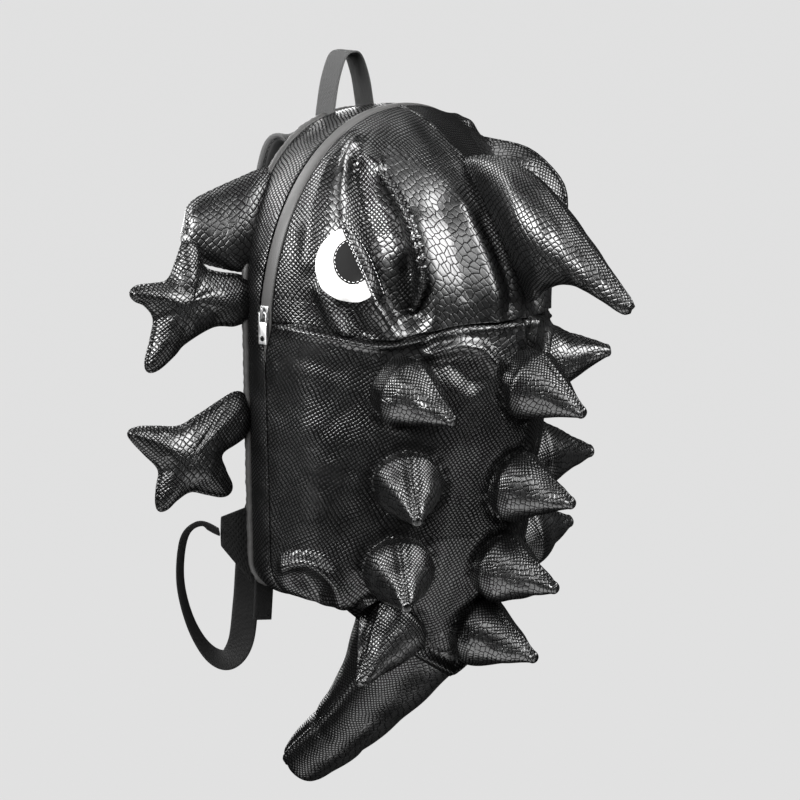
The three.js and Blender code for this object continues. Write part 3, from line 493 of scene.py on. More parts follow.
@dataclass(frozen=True)
class Stuffing:
    """Filling of a sewn piece, by a cloth simulation on a coarse cage of its grid."""

    pressure: float = 4.0
    frames: int = 20
    step: int = 3
    most: float = 5.0

    def swell(self, patch: Patch, held: Array) -> Patch:
        """Moves a grid as its filling swells it, with its mean size kept.

        Args:
            patch: A closed and capped grid.
            held: True where the piece is sewn down.

        Returns:
            The same patch, with its points moved.
        """
        rows, columns = patch.points.shape[:2]
        row_ids = np.unique(np.append(np.arange(0, rows, self.step), rows - 1))
        column_ids = np.arange(0, columns, self.step)
        chosen = np.ix_(row_ids, column_ids)
        cage = sleeve(patch.points[chosen])
        square, sign = cage.facing()
        free = ~held[chosen]
        move = self.solved(cage, held[chosen])
        mean = np.sum(move * square * sign, -1)[free].mean()
        move = move - square * (sign * mean * free)[..., None]
        size = np.linalg.norm(move, axis=-1, keepdims=True)
        move = move * self.most * np.tanh(size / self.most) / np.maximum(size, 1e-6)
        along = [np.interp(np.arange(rows), row_ids, share) for share in np.eye(len(row_ids))]
        column_ids = np.append(column_ids, columns)
        around = [np.interp(np.arange(columns), column_ids, share) for share in np.eye(len(column_ids))]
        full = np.einsum("ir,ijk,jc->rck", along, np.concatenate([move, move[:, :1]], 1), around)
        for _ in range(6):
            full = 0.5 * full + 0.25 * (np.roll(full, 1, 1) + np.roll(full, -1, 1))
            full[1:-1] = 0.5 * full[1:-1] + 0.25 * (full[:-2] + full[2:])
        patch.points = patch.points + full
        return patch

    def solved(self, cage: Patch, held: Array) -> Array:
        """Runs the simulation.

        Args:
            cage: The coarse grid.
            held: True where it stays put.

        Returns:
            How each place moves, in millimetres.
        """
        made = cage.build("cage")
        made.vertex_groups.new(name="sewn").add(np.flatnonzero(held).tolist(), 1.0, "REPLACE")
        cloth = made.modifiers.new("filling", "CLOTH")
        cloth.settings.vertex_group_mass = "sewn"
        cloth.settings.use_pressure = True
        cloth.settings.uniform_pressure_force = self.pressure
        cloth.settings.effector_weights.gravity = 0.0
        cloth.collision_settings.use_collision = False
        cloth.point_cache.frame_end = self.frames
        for number in range(1, self.frames + 1):
            bpy.context.scene.frame_set(number)
        swollen = made.evaluated_get(bpy.context.evaluated_depsgraph_get())
        start, end = np.empty((2, 3 * len(made.data.vertices)), np.float32)
        made.data.vertices.foreach_get("co", start)
        swollen.data.vertices.foreach_get("co", end)
        move = (end - start).reshape(-1, 3)[: held.size].reshape(*held.shape, 3)
        bpy.data.objects.remove(made)
        bpy.context.scene.frame_set(1)
        log.info("filling moved %d places by up to %.1f mm", held.size, 1000 * np.abs(move).max())
        return np.nan_to_num(move) * [1000, -1000, 1000]


STUFFING = Stuffing()


# Shader graphs


class Wire:
    """An output of a node, with arithmetic that adds nodes."""

    def __init__(self, graph: "Graph", socket: bpy.types.NodeSocket) -> None:
        """Keeps the output."""
        self.graph = graph
        self.socket = socket

    def maths(self, operation: str, *values: "Wire | float") -> "Wire":
        """One step of arithmetic."""
        return self.graph.wire("ShaderNodeMath", {"operation": operation}, dict(enumerate(values)))

    def __add__(self, other: "Wire | float") -> "Wire":
        """Sum."""
        return self.maths("ADD", self, other)

    __radd__ = __add__

    def __sub__(self, other: "Wire | float") -> "Wire":
        """Difference."""
        return self.maths("SUBTRACT", self, other)

    def __rsub__(self, other: "Wire | float") -> "Wire":
        """Difference from a number."""
        return self.maths("SUBTRACT", other, self)

    def __mul__(self, other: "Wire | float") -> "Wire":
        """Product."""
        return self.maths("MULTIPLY", self, other)

    __rmul__ = __mul__

    def sine(self) -> "Wire":
        """Sine of an angle."""
        return self.maths("SINE", self)

    def wave(self, half: float) -> "Wire":
        """Straight rise and fall."""
        return self.maths("PINGPONG", self, half)

    def step(self, low: float, high: float) -> "Wire":
        """Smooth rise from 0 to 1."""
        inputs = {"Value": self, "From Min": low, "From Max": high}
        return self.graph.wire("ShaderNodeMapRange", {"interpolation_type": "SMOOTHSTEP"}, inputs)


Plug = Wire | float | tuple[float, ...]
Inputs = dict[int | str, Plug]
Settings = dict[str, object]
CELL_EDGES: Settings = {"voronoi_dimensions": "2D", "feature": "DISTANCE_TO_EDGE"}


class Graph:
    """The node tree of one material or world."""

    def __init__(self, owner: Material | bpy.types.World) -> None:
        """Starts an empty tree.

        Args:
            owner: The material or world.
        """
        self.owner = owner
        owner.use_nodes = True
        self.tree = owner.node_tree
        self.tree.nodes.clear()

    def node(self, kind: str, settings: Settings, inputs: Inputs) -> bpy.types.Node:
        """Adds any node.

        Args:
            kind: Blender's type name of the node.
            settings: Properties to set.
            inputs: Values or wires by socket name or number.

        Returns:
            The node.
        """
        made = self.tree.nodes.new(kind)
        for key, value in settings.items():
            setattr(made, key, value)
        for key, value in inputs.items():
            if isinstance(value, Wire):
                self.tree.links.new(value.socket, made.inputs[key])
            else:
                made.inputs[key].default_value = value
        return made

    def wire(
        self, kind: str, settings: Settings | None = None, inputs: Inputs | None = None, output: int | str = 0
    ) -> Wire:
        """Adds any node and gives one of its outputs."""
        return Wire(self, self.node(kind, settings or {}, inputs or {}).outputs[output])

    def flat(self) -> Wire:
        """Place on the flat cloth."""
        return self.wire("ShaderNodeUVMap", {"uv_map": HIDE_UV})

    def mark(self, name: str) -> Wire:
        """A painted mark."""
        return self.wire("ShaderNodeAttribute", {"attribute_name": name}, output="Fac")

    def mapped(self, place: Wire, scale: Pair, angle: float = 0.0) -> Wire:
        """A place stretched and turned.

        Args:
            place: Where from.
            scale: Factors along the two axes.
            angle: Turn in degrees, before the stretch.

        Returns:
            The new place.
        """
        inputs = {"Vector": place, "Angle": math.radians(angle)}
        turned = self.wire("ShaderNodeVectorRotate", {"rotation_type": "Z_AXIS"}, inputs)
        return self.wire("ShaderNodeVectorMath", {"operation": "MULTIPLY"}, {0: turned, 1: (*scale, 1.0)})

    def split(self, place: Wire) -> tuple[Wire, Wire]:
        """Both distances of a flat place."""
        parts = self.node("ShaderNodeSeparateXYZ", {}, {0: place})
        return Wire(self, parts.outputs[0]), Wire(self, parts.outputs[1])

    def noise(self, place: Wire, scale: float, detail: float = 2.0) -> Wire:
        """Cloudy values."""
        return self.wire("ShaderNodeTexNoise", {}, {"Vector": place, "Scale": scale, "Detail": detail})

    def cells(self, place: Wire, spread: float) -> Wire:
        """Distance from the edges of uneven cells one unit wide."""
        inputs = {"Vector": place, "Scale": 1.0, "Randomness": spread}
        return self.wire("ShaderNodeTexVoronoi", CELL_EDGES, inputs)

    def swayed(self, place: Wire, scale: float, amount: float) -> Wire:
        """Moves places about unevenly.

        Args:
            place: Where.
            scale: How fine the unevenness is.
            amount: Largest move.

        Returns:
            The moved places.
        """
        inputs = {"Vector": place, "Scale": scale, "Detail": 1.0}
        cloud = self.wire("ShaderNodeTexNoise", {"noise_dimensions": "2D"}, inputs, output="Color")
        centred = self.wire("ShaderNodeVectorMath", {"operation": "SUBTRACT"}, {0: cloud, 1: (0.5, 0.5, 0.5)})
        move = self.wire("ShaderNodeVectorMath", {"operation": "SCALE"}, {0: centred, "Scale": amount})
        return self.wire("ShaderNodeVectorMath", {"operation": "ADD"}, {0: place, 1: move})

    def tint(self, share: Wire | float, low: Plug, high: Plug) -> Wire:
        """Mix of two colours."""
        return self.wire("ShaderNodeMix", {"data_type": "RGBA"}, {0: share, 6: low, 7: high}, output=2)

    def bump(self, height: Wire, distance_mm: float, strength: float = 1.0) -> Wire:
        """Surface direction from a height of about 0 to 1."""
        inputs = {"Height": height, "Distance": distance_mm / 1000, "Strength": strength}
        return self.wire("ShaderNodeBump", {}, inputs)

    def surface(self, inputs: Inputs, painted_groove_shade: Wire | None = None) -> Material:
        """Ends the tree with a surface.

        Args:
            inputs: Values or wires of the principled surface.
            painted_groove_shade: Share of a black surface without shine, as painted shade in deep grooves.

        Returns:
            The material.
        """
        shader = self.wire("ShaderNodeBsdfPrincipled", {}, inputs)
        if painted_groove_shade is not None:
            # A black surface without shine, mixed in as painted shade in the grooves.
            black = {"Base Color": grey(0.001), "Roughness": 0.9, "Specular IOR Level": 0.0}
            groove_shade_surface = self.wire("ShaderNodeBsdfPrincipled", {}, black)
            shader = self.wire("ShaderNodeMixShader", {}, {0: painted_groove_shade, 1: shader, 2: groove_shade_surface})
        self.node("ShaderNodeOutputMaterial", {}, {"Surface": shader})
        return self.owner


def grey(value: float, warm: float = 0.0) -> tuple[float, float, float, float]:
    """A grey colour."""
    return (value * (1 + warm), value, value * (1 - warm), 1.0)


@dataclass(frozen=True)
class Finish:
    """A surface finish that makes its material once."""

    name: str

    def material(self) -> Material:
        """The finish's material."""
        found = bpy.data.materials.get(self.name)
        return found if found else self.make(Graph(bpy.data.materials.new(self.name)))

    def make(self, graph: Graph) -> Material:
        """Builds the material."""
        raise NotImplementedError


@dataclass(frozen=True)
class ScaledLeather(Finish):
    """Black coated cloth embossed with small diamond scales and belts of larger plates."""

    diamond: Pair = (3.3, 3.0)
    scale: Pair = (5.4, 4.6)
    plate: Pair = (7.4, 4.6)
    top: float = 0.003
    shine: float = 0.25

    def make(self, graph: Graph) -> Material:
        """Builds the material.

        Args:
            graph: An empty tree.

        Returns:
            The material.
        """
        flat = graph.flat()
        place = graph.swayed(flat, 3.5, 0.06)
        per_mm = 1 / UV_PER_MM
        kinds = ((self.diamond, 0.14), (self.scale, 0.32), (self.plate, 0.55))
        small, medium, large = (
            graph.cells(graph.mapped(place, (per_mm / wide, per_mm / tall), 45), spread)
            for (wide, tall), spread in kinds
        )
        mark = graph.mark("plates") + (graph.noise(flat, 7.0, 1.0) - 0.5) * 0.4
        to_medium, to_large = mark.step(0.26, 0.32), mark.step(0.56, 0.62)
        gap = small.step(0.03, 0.33)
        gap = gap + (medium.step(0.01, 0.17) - gap) * to_medium
        gap = gap + (large.step(0.01, 0.11) - gap) * to_large
        crown = small.step(0.0, 0.45)
        crown = crown + (medium.step(0.0, 0.4) - crown) * to_medium
        crown = crown + (large.step(0.0, 0.35) - crown) * to_large
        grain = graph.noise(flat, 160.0, 3.0)
        height = gap * 0.5 + crown * (0.45 - to_medium * 0.05) + grain * 0.08
        worn = graph.noise(flat, 2.2, 3.0)
        # The grooves between the scales get painted shade: a black surface without shine.
        return graph.surface({
            "Base Color": graph.tint(worn, grey(self.top * 0.5), grey(self.top * 1.4, -0.03)),
            "Roughness": self.shine + (worn - 0.5) * 0.14 + grain * 0.06 + to_large * 0.05,
            "Specular IOR Level": 0.6,
            "Normal": graph.bump(height, 0.3, 0.75),
        }, painted_groove_shade=(1 - gap) * 0.92)


@dataclass(frozen=True)
class Webbing(Finish):
    """Woven tape with a herringbone of ribs along it."""

    tone: float = 0.005
    pitch: float = 1.9

    def make(self, graph: Graph) -> Material:
        """Builds the material.

        Args:
            graph: An empty tree.

        Returns:
            The material.
        """
        flat = graph.flat()
        across, along = graph.split(flat)
        turn = 2 * math.pi / (self.pitch * UV_PER_MM)
        slant = (across * turn + (along * (turn * 0.7)).wave(2 * math.pi) * 0.9).sine()
        picks = (along * (turn * 1.6)).sine()
        weave = slant * 0.35 + picks * 0.25 + 0.5
        fuzz = graph.noise(flat, 120.0, 4.0)
        height = weave + fuzz * 0.25
        shade = (weave * 0.7 + fuzz * 0.5).step(0.1, 1.0)
        return graph.surface({
            "Base Color": graph.tint(shade, grey(self.tone * 0.45), grey(self.tone * 1.3)),
            "Roughness": 0.78 - weave * 0.15,
            "Specular IOR Level": 0.12,
            "Normal": graph.bump(height, 0.35, 0.9),
        })


@dataclass(frozen=True)
class PaddedCloth(Finish):
    """Open knitted mesh over foam, pressed down along its sewing."""

    tone: float = 0.006
    pitch: float = 3.8

    def make(self, graph: Graph) -> Material:
        """Builds the material.

        Args:
            graph: An empty tree.

        Returns:
            The material.
        """
        flat = graph.flat()
        scale = 1 / (UV_PER_MM * self.pitch)
        hole = graph.cells(graph.mapped(flat, (scale, scale * 0.8), 45), 0.0).step(0.14, 0.36)
        fuzz = graph.noise(flat, 160.0, 3.0)
        cloud = graph.noise(flat, 2.5, 4.0)
        # Painted shade: along the sewn creases the colour darkens.
        crease = graph.mark("crease")
        shade = (1 - hole) * (0.35 + fuzz * 0.5 + cloud * 0.4)
        knit = graph.tint(shade, grey(self.tone * 0.12), grey(self.tone * 1.9))
        return graph.surface({
            "Base Color": graph.tint(crease, knit, grey(self.tone * 0.3)),
            "Roughness": 0.82 - fuzz * 0.1,
            "Specular IOR Level": 0.12,
            "Normal": graph.bump((1 - hole) * 0.8 + fuzz * 0.2 - crease, 0.7, 0.9),
        })


@dataclass(frozen=True)
class SmoothTape(Finish):
    """Smooth coated tape with a faint grain, as on the zip and the piping."""

    tone: float = 0.2
    warm: float = 0.02
    rough: float = 0.46

    def make(self, graph: Graph) -> Material:
        """Builds the material.

        Args:
            graph: An empty tree.

        Returns:
            The material.
        """
        flat = graph.flat()
        grain = graph.noise(flat, 140.0, 4.0)
        cloud = graph.noise(flat, 3.0, 3.0)
        # Painted shade: the colour darkens where the crease mark is set.
        crease = graph.mark("crease")
        tone = cloud * 0.5 + grain * 0.4
        pale = graph.tint(tone, grey(self.tone * 0.8, self.warm), grey(self.tone * 1.15, self.warm))
        return graph.surface({
            "Base Color": graph.tint(crease, pale, grey(0.012)),
            "Roughness": self.rough + grain * 0.12,
            "Specular IOR Level": 0.3,
            "Normal": graph.bump(grain + cloud * 0.4, 0.12, 0.7),
        })


@dataclass(frozen=True)
class Metal(Finish):
    """Bright plated metal with faint scratches."""

    tone: float = 0.9

    def make(self, graph: Graph) -> Material:
        """Builds the material.

        Args:
            graph: An empty tree.

        Returns:
            The material.
        """
        place = graph.wire("ShaderNodeTexCoord", output="Object")
        cloud = graph.noise(place, 220.0, 3.0)
        scratch = graph.noise(graph.mapped(place, (900.0, 4000.0)), 1.0, 2.0)
        return graph.surface({
            "Base Color": graph.tint(cloud, grey(self.tone * 0.8), grey(self.tone)),
            "Metallic": 1.0,
            "Roughness": 0.27 + cloud * 0.12 + scratch * 0.06,
            "Normal": graph.bump(scratch, 0.03, 0.5),
        })


@dataclass(frozen=True)
class Plastic(Finish):
    """Moulded black plastic with a fine spark texture."""

    tone: float = 0.018

    def make(self, graph: Graph) -> Material:
        """Builds the material.

        Args:
            graph: An empty tree.

        Returns:
            The material.
        """
        place = graph.wire("ShaderNodeTexCoord", output="Object")
        spark = graph.noise(place, 2600.0, 2.0)
        cloud = graph.noise(place, 90.0, 3.0)
        return graph.surface({
            "Base Color": graph.tint(cloud, grey(self.tone * 0.7), grey(self.tone * 1.4)),
            "Roughness": 0.42 + spark * 0.12,
            "Normal": graph.bump(spark, 0.05, 0.6),
        })


@dataclass(frozen=True)
class EyeCloth(Finish):
    """Smooth coated cloth of an eye patch, with a fine grain."""

    tone: float = 0.8
    rough: float = 0.45

    def make(self, graph: Graph) -> Material:
        """Builds the material.

        Args:
            graph: An empty tree.

        Returns:
            The material.
        """
        flat = graph.flat()
        grain = graph.noise(flat, 90.0, 3.0)
        cloud = graph.noise(flat, 4.0, 2.0)
        mix = grain * 0.5 + cloud * 0.5
        return graph.surface({
            "Base Color": graph.tint(mix, grey(self.tone * 0.9, 0.01), grey(self.tone * 1.05, 0.01)),
            "Specular IOR Level": 0.12,
            "Roughness": self.rough + grain * 0.1,
            "Normal": graph.bump(grain, 0.08, 0.6),
        })


@dataclass(frozen=True)
class Thread(Finish):
    """Twisted sewing thread."""

    tone: float = 0.75

    def make(self, graph: Graph) -> Material:
        """Builds the material.

        Args:
            graph: An empty tree.

        Returns:
            The material.
        """
        place = graph.wire("ShaderNodeTexCoord", output="Object")
        twist = graph.noise(place, 3000.0, 2.0)
        return graph.surface({
            "Base Color": graph.tint(twist, grey(self.tone * 0.75), grey(self.tone)),
            "Roughness": 0.6 + twist * 0.1,
            "Normal": graph.bump(twist, 0.1, 0.6),
        })


LEATHER = ScaledLeather("scaled_leather")
FINE_LEATHER = ScaledLeather("fine_scaled_leather", diamond=(3.0, 2.7), scale=(4.8, 4.2), plate=(5.8, 4.2))
TAPE = SmoothTape("zip_tape", tone=0.022)
PIPING = SmoothTape("piping", tone=0.02)
STRAP_WEBBING = Webbing("strap_webbing")
LOOP_WEBBING = Webbing("loop_webbing", tone=0.03)
PADDING = PaddedCloth("padding")
# The padding cloth made four times darker for the anchor tabs, as painted shade.
SHADED_ANCHOR_CLOTH = PaddedCloth("shaded_anchor_cloth", tone=0.0015)
METAL = Metal("plated_metal")
DARK_METAL = Metal("dark_metal", tone=0.3)
PLASTIC = Plastic("moulded_plastic")
EYE_WHITE = EyeCloth("eye_white", tone=0.42)
EYE_BLACK = EyeCloth("eye_black", tone=0.003, rough=0.62)
WHITE_THREAD = Thread("white_thread", tone=0.55)
BLACK_THREAD = Thread("black_thread", tone=0.03)


@dataclass
class Piece:
    """One finished piece: its object, the nodes it stands for and its finish."""

    made: Object
    finish: Finish
    slot: str
    nodes: tuple[str, ...] = ()
    body: str = "bag"
    fill: float | None = None

    def dress(self) -> None:
        """Gives the piece its material and body, hides the nodes it stands for, and logs it."""
        self.made.data.materials.clear()
        self.made.data.materials.append(self.finish.material())
        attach(self.made, self.body)
        if self.nodes:
            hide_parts(*self.nodes)
        log.info("%s: %d faces", self.made.name, len(self.made.data.polygons))


def sewn(patch: Patch, node: str, word: str, finish: Finish, slot: str, fill: float | None = None) -> Piece:
    """A piece that stands for one node and is named after it."""
    return Piece(patch.build(f"{node}_{word}"), finish, slot, (node,), fill=fill)


def walled(made: Object, thickness_mm: float) -> Object:
    """Gives a panel the thickness of its cloth, inwards.

    Args:
        made: The panel.
        thickness_mm: Thickness of the cloth.

    Returns:
        The same object.
    """
    wall = made.modifiers.new("wall", "SOLIDIFY")
    wall.thickness = thickness_mm / 1000
    wall.offset = -1
    return made


# The front's form


@dataclass(frozen=True)
class FrontForm:
    """Shape of the head and body panels, by degrees round the bag and height."""

    height: float = 444.0
    arch_foot: float = 281.0
    half_width: float = 160.0
    taper: float = 8.0
    corner: float = 38.0
    arch_power: float = 2.2
    profile_power: float = 1.5
    shell_power: float = 1.7
    nose_depth: float = 209.0
    chin_z: float = 260.0
    zip_end_z: float = 226.0
    tape_width: float = 14.5
    tape_back: float = 2.0
    seam_gap: float = 0.3
    tongue_top: float = 60.0
    tongue_tip: float = -84.0
    tongue_half: float = 156.0
    tongue_taper: float = 18.0
    tongue_depth: float = 200.0
    hem_turn: float = 22.0
    hem_rise: float = 22.0
    side_turn: float = 46.0
    dip_depth: float = 14.0
    dip_turn: float = 52.0
    dip_width: float = 15.0
    dip_reach: float = 62.0
    gusset_edge: Table = ((0, 29), (226, 28), (260, 23), (444, 50))
    body_profile: Table = (
        (-84, 118), (-60, 140), (-34, 156), (-6, 168), (24, 178), (60, 187), (103, 197), (150, 207),
        (200, 214), (260, 208),
    )

    def wide(self, z: Array, inset: float = 0.0) -> Array:
        """Half width of the outline.

        Args:
            z: Heights.
            inset: How far inside the outline.

        Returns:
            Half widths.
        """
        z = np.asarray(z, float)
        rise = np.clip((z - self.arch_foot) / (self.height - inset - self.arch_foot), 0, 1)
        arch = (self.half_width - inset) * (1 - rise**self.arch_power) ** (1 / self.arch_power)
        fall = (self.arch_foot - np.maximum(z, self.corner)) / (self.arch_foot - self.corner)
        radius = self.corner - inset
        below = np.clip(self.corner - z, 0, radius)
        rounding = radius - np.sqrt(np.maximum(radius**2 - below**2, 0))
        return np.where(z >= self.arch_foot, arch, self.half_width - inset - self.taper * fall - rounding)

    def eased(self, table: Table, z: Array) -> Array:
        """Value of a table with its corners rounded off.

        Args:
            table: Heights with their values.
            z: Where to take it.

        Returns:
            The values.
        """
        keys, values = np.array(table, float).T
        shifts = np.linspace(-14, 14, 9)
        return np.mean([np.interp(np.asarray(z, float) + shift, keys, values) for shift in shifts], axis=0)

    def gusset_depth(self, z: Array) -> Array:
        """Depth of the gusset's front edge."""
        share = smooth_step(z, self.zip_end_z - 4, self.chin_z)
        return self.eased(self.gusset_edge, z) - self.tape_back * share

    def rim(self, z: Array) -> Array:
        """Depth of the panels' rear edge, in front of the zip where there is one."""
        share = smooth_step(z, self.zip_end_z - 4, self.chin_z)
        return self.gusset_depth(z) + 2 * self.seam_gap + self.tape_width * share

    def middle(self, z: Array) -> Array:
        """Depth of the middle line.

        Args:
            z: Heights.

        Returns:
            Depths.
        """
        z = np.asarray(z, float)
        rise = np.clip((z - self.arch_foot) / (self.height - self.arch_foot), 0, 1)
        rim = self.rim(z)
        shrink = (1 - rise**self.profile_power) ** (1 / self.profile_power)
        arch = rim + (self.nose_depth - rim) * shrink
        low = self.eased(self.body_profile, z)
        low = low + (self.nose_depth - low) * smooth_step(z, self.chin_z - 10, self.arch_foot)
        return np.where(z >= self.arch_foot, arch, low)

    def section(self, turn: Array, half: Array, rim: Array, middle: Array, z: Array) -> Array:
        """A place on one level section.

        Args:
            turn: Degrees round from the middle.
            half: Half width.
            rim: Depth of the rear edge.
            middle: Depth of the middle.
            z: Height.

        Returns:
            Places.
        """
        angle = np.radians(turn)
        power = 2 / self.shell_power
        x = half * signed_power(np.sin(angle), power)
        depth = rim + (middle - rim) * np.maximum(np.cos(angle), 0) ** power
        return np.stack(np.broadcast_arrays(x, depth, z), -1).astype(float)

    def dip(self, turn: Array, z: Array) -> Array:
        """How far the cloth sags near the chin seam."""
        near = np.maximum(1 - np.abs(z - self.chin_z) / self.dip_reach, 0)
        return -self.dip_depth * bell(np.abs(turn) - self.dip_turn, self.dip_width) * near

    def head(self, turn: Array, z: Array) -> Array:
        """A place on the head panel.

        Args:
            turn: Degrees round.
            z: Heights.

        Returns:
            Places.
        """
        turn, z = np.broadcast_arrays(np.asarray(turn, float), np.asarray(z, float))
        place = self.section(turn, self.wide(z), self.rim(z), self.middle(z), z)
        place[..., 2] += self.dip(turn, z)
        return place

    def under(self, turn: Array, z: Array) -> Array:
        """A place on the body panel, which closes under the bag.

        Args:
            turn: Degrees round.
            z: Heights.

        Returns:
            Places.
        """
        rim = self.rim(z)
        low = np.clip(z / self.tongue_top, 0, 1)
        closing = (1 - (1 - low) ** 3) ** (1 / 3)
        middle = rim + (self.middle(np.maximum(z, self.tongue_top)) - rim) * closing
        place = self.section(turn, self.wide(z), rim, middle, z)
        place[..., 2] += self.dip(turn, z)
        return place

    def tongue(self, turn: Array, z: Array) -> Array:
        """A place on the tongue that runs on over the tail.

        Args:
            turn: Degrees round.
            z: Heights.

        Returns:
            Places.
        """
        share = np.clip((self.tongue_top - z) / (self.tongue_top - self.tongue_tip), 0, 1)
        middle = self.middle(z)
        start = self.rim(np.full_like(middle, self.tongue_top))
        rim = start + (middle - self.tongue_depth - start) * np.minimum(share * 2, 1)
        low = self.section(turn, self.tongue_half - self.tongue_taper * share, rim, middle, z)
        return np.where((z >= self.tongue_top)[..., None], self.under(turn, np.maximum(z, 0)), low)

    def body(self, turn: Array, share: Array) -> Array:
        """A place on the body panel.

        Args:
            turn: Degrees round.
            share: Way down the panel, from 0 at the chin seam to 1 at the bottom.

        Returns:
            Places.
        """
        turn, share = np.broadcast_arrays(np.asarray(turn, float), np.asarray(share, float))
        level = self.chin_z * (1 - share)
        under = self.under(turn, level)
        reach = np.abs(turn)
        hem = self.tongue_tip + self.hem_rise * np.minimum(reach / self.hem_turn, 1.2) ** 1.3
        straight = (self.chin_z - self.tongue_top) / self.chin_z
        run = np.clip((share - straight) / (1 - straight), 0, 1)
        low = self.tongue_top + (hem - self.tongue_top) * run
        tongue = self.tongue(turn, np.where(share < straight, level, low))
        part = smooth_step(reach, self.side_turn, self.hem_turn)[..., None]
        return under + (tongue - under) * part


FORM = FrontForm()

HEAD_FOLDS = (
    Fold(((80, 405), (78, 360), (77, 318)), 10, 2.5),
    Fold(((80, 424), (70, 418), (60, 411), (50, 401)), 6, 5.0),
    Fold(((71, 409), (68, 398), (67, 373), (65, 350)), 9, 3.5),
    Fold(((63, 404), (58, 382), (54, 348), (50, 305), (47, 275)), 14, -9.0),
    Fold(((57, 298), (52, 280), (48, 263)), 5.5, 9.0),
    Fold(((71, 292), (67, 272), (63, 262)), 6, 7.0),
    Fold(((62, 284), (58, 265)), 8, -6.0),
    Fold(((43, 312), (42, 276)), 9, -9.0),
    Fold(((37, 352), (37, 262)), 9, 3.0),
    Fold(((28, 362), (27, 288)), 10, -3.0),
    Fold(((19, 362), (17, 262)), 12, 4.5),
    Fold(((11, 350), (10, 275)), 8, -3.5),
)
BODY_FOLDS = (
    Fold(((90, 255), (70, 254), (60, 254), (50, 253), (40, 253)), 4.0, 4.0),
    Fold(((40, 253), (0, 254)), 5, 2.0),
    Fold(((38, 238), (29, 241), (23, 236), (18, 221)), 7, 7.0),
    Fold(((32, 224), (26, 206)), 9, -4.0),
    Fold(((6, 256), (4, 236)), 5, 5.0),
    Fold(((22, 205), (22, 15)), 17, -4.0),
    Fold(((82, 33), (78, 37), (73, 39), (69, 35), (66, 29), (63, 21), (59, 11), (52, 2)), 6.5, 8.0),
    Fold(((75, 20), (69, 10)), 9.5, -6.0),
    Fold(((74, 275), (71, 80)), 24, 4.0),
)
HEAD_PLATES = (
    Fold(((42, 388), (28, 368), (25, 335), (20, 300), (8, 266)), 26, 1.0),
    Fold(((36, 372), (33, 330), (32, 290), (30, 264)), 24, 0.9),
    Fold(((70, 412), (67, 350)), 13, 0.65),
    Fold(((50, 330), (52, 290), (46, 262)), 14, 0.6),
)
BODY_PLATES = (
    Fold(((30, 246), (14, 240), (4, 250)), 14, 0.7),
    Fold(((42, 240), (60, 250)), 10, 0.6),
)


def relief(folds: Sequence[Fold], turn: Array, z: Array) -> Array:
    """Sum of the folds at a place."""
    return sum(fold.lift(turn, z) for fold in folds)


def head_lift(turn: Array, z: Array) -> Array:
    """Lift of the head panel over its plain form.

    Args:
        turn: Degrees round.
        z: Heights.

    Returns:
        Lifts in millimetres.
    """
    reach = np.abs(turn)
    free = smooth_step(reach, 90, 83) * smooth_step(z, 441, 424)
    u, v = turn * TURN_MM, np.asarray(z, float)
    waves = 0.8 * Ripple(70, 3).at(u, v) + 0.12 * Ripple(28, 4).at(u, v)
    seam = 2.0 * bell(u, 2.0)
    side = np.exp(-np.abs(u) / 6) * Ripple(9, 5).at(0 * u, v) * 0.25
    chin = np.exp(-np.abs(v - FORM.chin_z) / 9) * Ripple(16, 6).at(u, 0 * v) * 0.5
    return free * (relief(HEAD_FOLDS, turn, z) + waves + side) + seam + chin


def head_place(turn: Array, z: Array, lift: Array | float = 0.0) -> Array:
    """A place on the finished head panel, or above it.

    Args:
        turn: Degrees round.
        z: Heights.
        lift: Millimetres above the panel.

    Returns:
        Places.
    """
    turn, z = np.broadcast_arrays(np.asarray(turn, float), np.asarray(z, float))
    along = FORM.head(turn + 0.5, z) - FORM.head(turn - 0.5, z)
    rise = FORM.head(turn, z + 0.5) - FORM.head(turn, z - 0.5)
    square = unit(np.cross(along, rise))
    outward = FORM.head(turn, z) - np.array([0.0, 60.0, 260.0])
    sign = np.where(np.sum(square * outward, -1) < 0, -1.0, 1.0)[..., None]
    return FORM.head(turn, z) + square * sign * (head_lift(turn, z) + lift)[..., None]


# Spikes are listed before the body panel, which gathers round them


@dataclass(frozen=True)
class Spike:
    """One stuffed spike, by where it is sewn on and where it points."""

    name: str
    heading: Triple
    length: float
    turn: float | None = None
    z: float = 0.0
    place: Triple | None = None
    radius: float = 33.0

    def base(self) -> Array:
        """Middle of its sewn edge.

        Returns:
            The place.
        """
        if self.place is not None:
            return np.array(self.place, float)
        surface = FORM.tongue if self.turn == 0 else FORM.under
        return surface(np.array(float(self.turn)), np.array(float(self.z)))

    def axes(self) -> tuple[Array, Array, Array]:
        """Directions along the spike, sideways and up.

        Returns:
            Three unit vectors.
        """
        along = unit(np.array(self.heading, float))
        across = unit(np.cross(np.array([0.0, 0.0, 1.0]), along))
        return along, across, np.cross(along, across)


SPIKES = (
    Spike("spike_left_1", (-6, 60, -22), 66, -46, 200),
    Spike("spike_left_2", (-45, 45, -27), 66, -43, 112),
    Spike("spike_left_3", (-46, 45, -27), 66, -43, 31),
    Spike("spike_left_4", (-66, 8, -48), 78, place=(-56, 99, -31)),
    Spike("spike_mid_1", (0, 60, -23), 66, 0, 200),
    Spike("spike_mid_2", (0, 66, -11), 67, 0, 103),
    Spike("spike_mid_3", (0, 66, -14), 68, 0, 25),
    Spike("spike_mid_4", (0, 68, -20), 70, 0, -37),
    Spike("spike_right_1", (42, 44, 7), 65, 46, 204),
    Spike("spike_right_2", (54, 26, -1), 64, 46, 112),
    Spike("spike_right_3", (60, 18, 8), 62, 50, 33),
    Spike("spike_right_4", (66, 8, -48), 78, place=(56, 99, -31)),
)


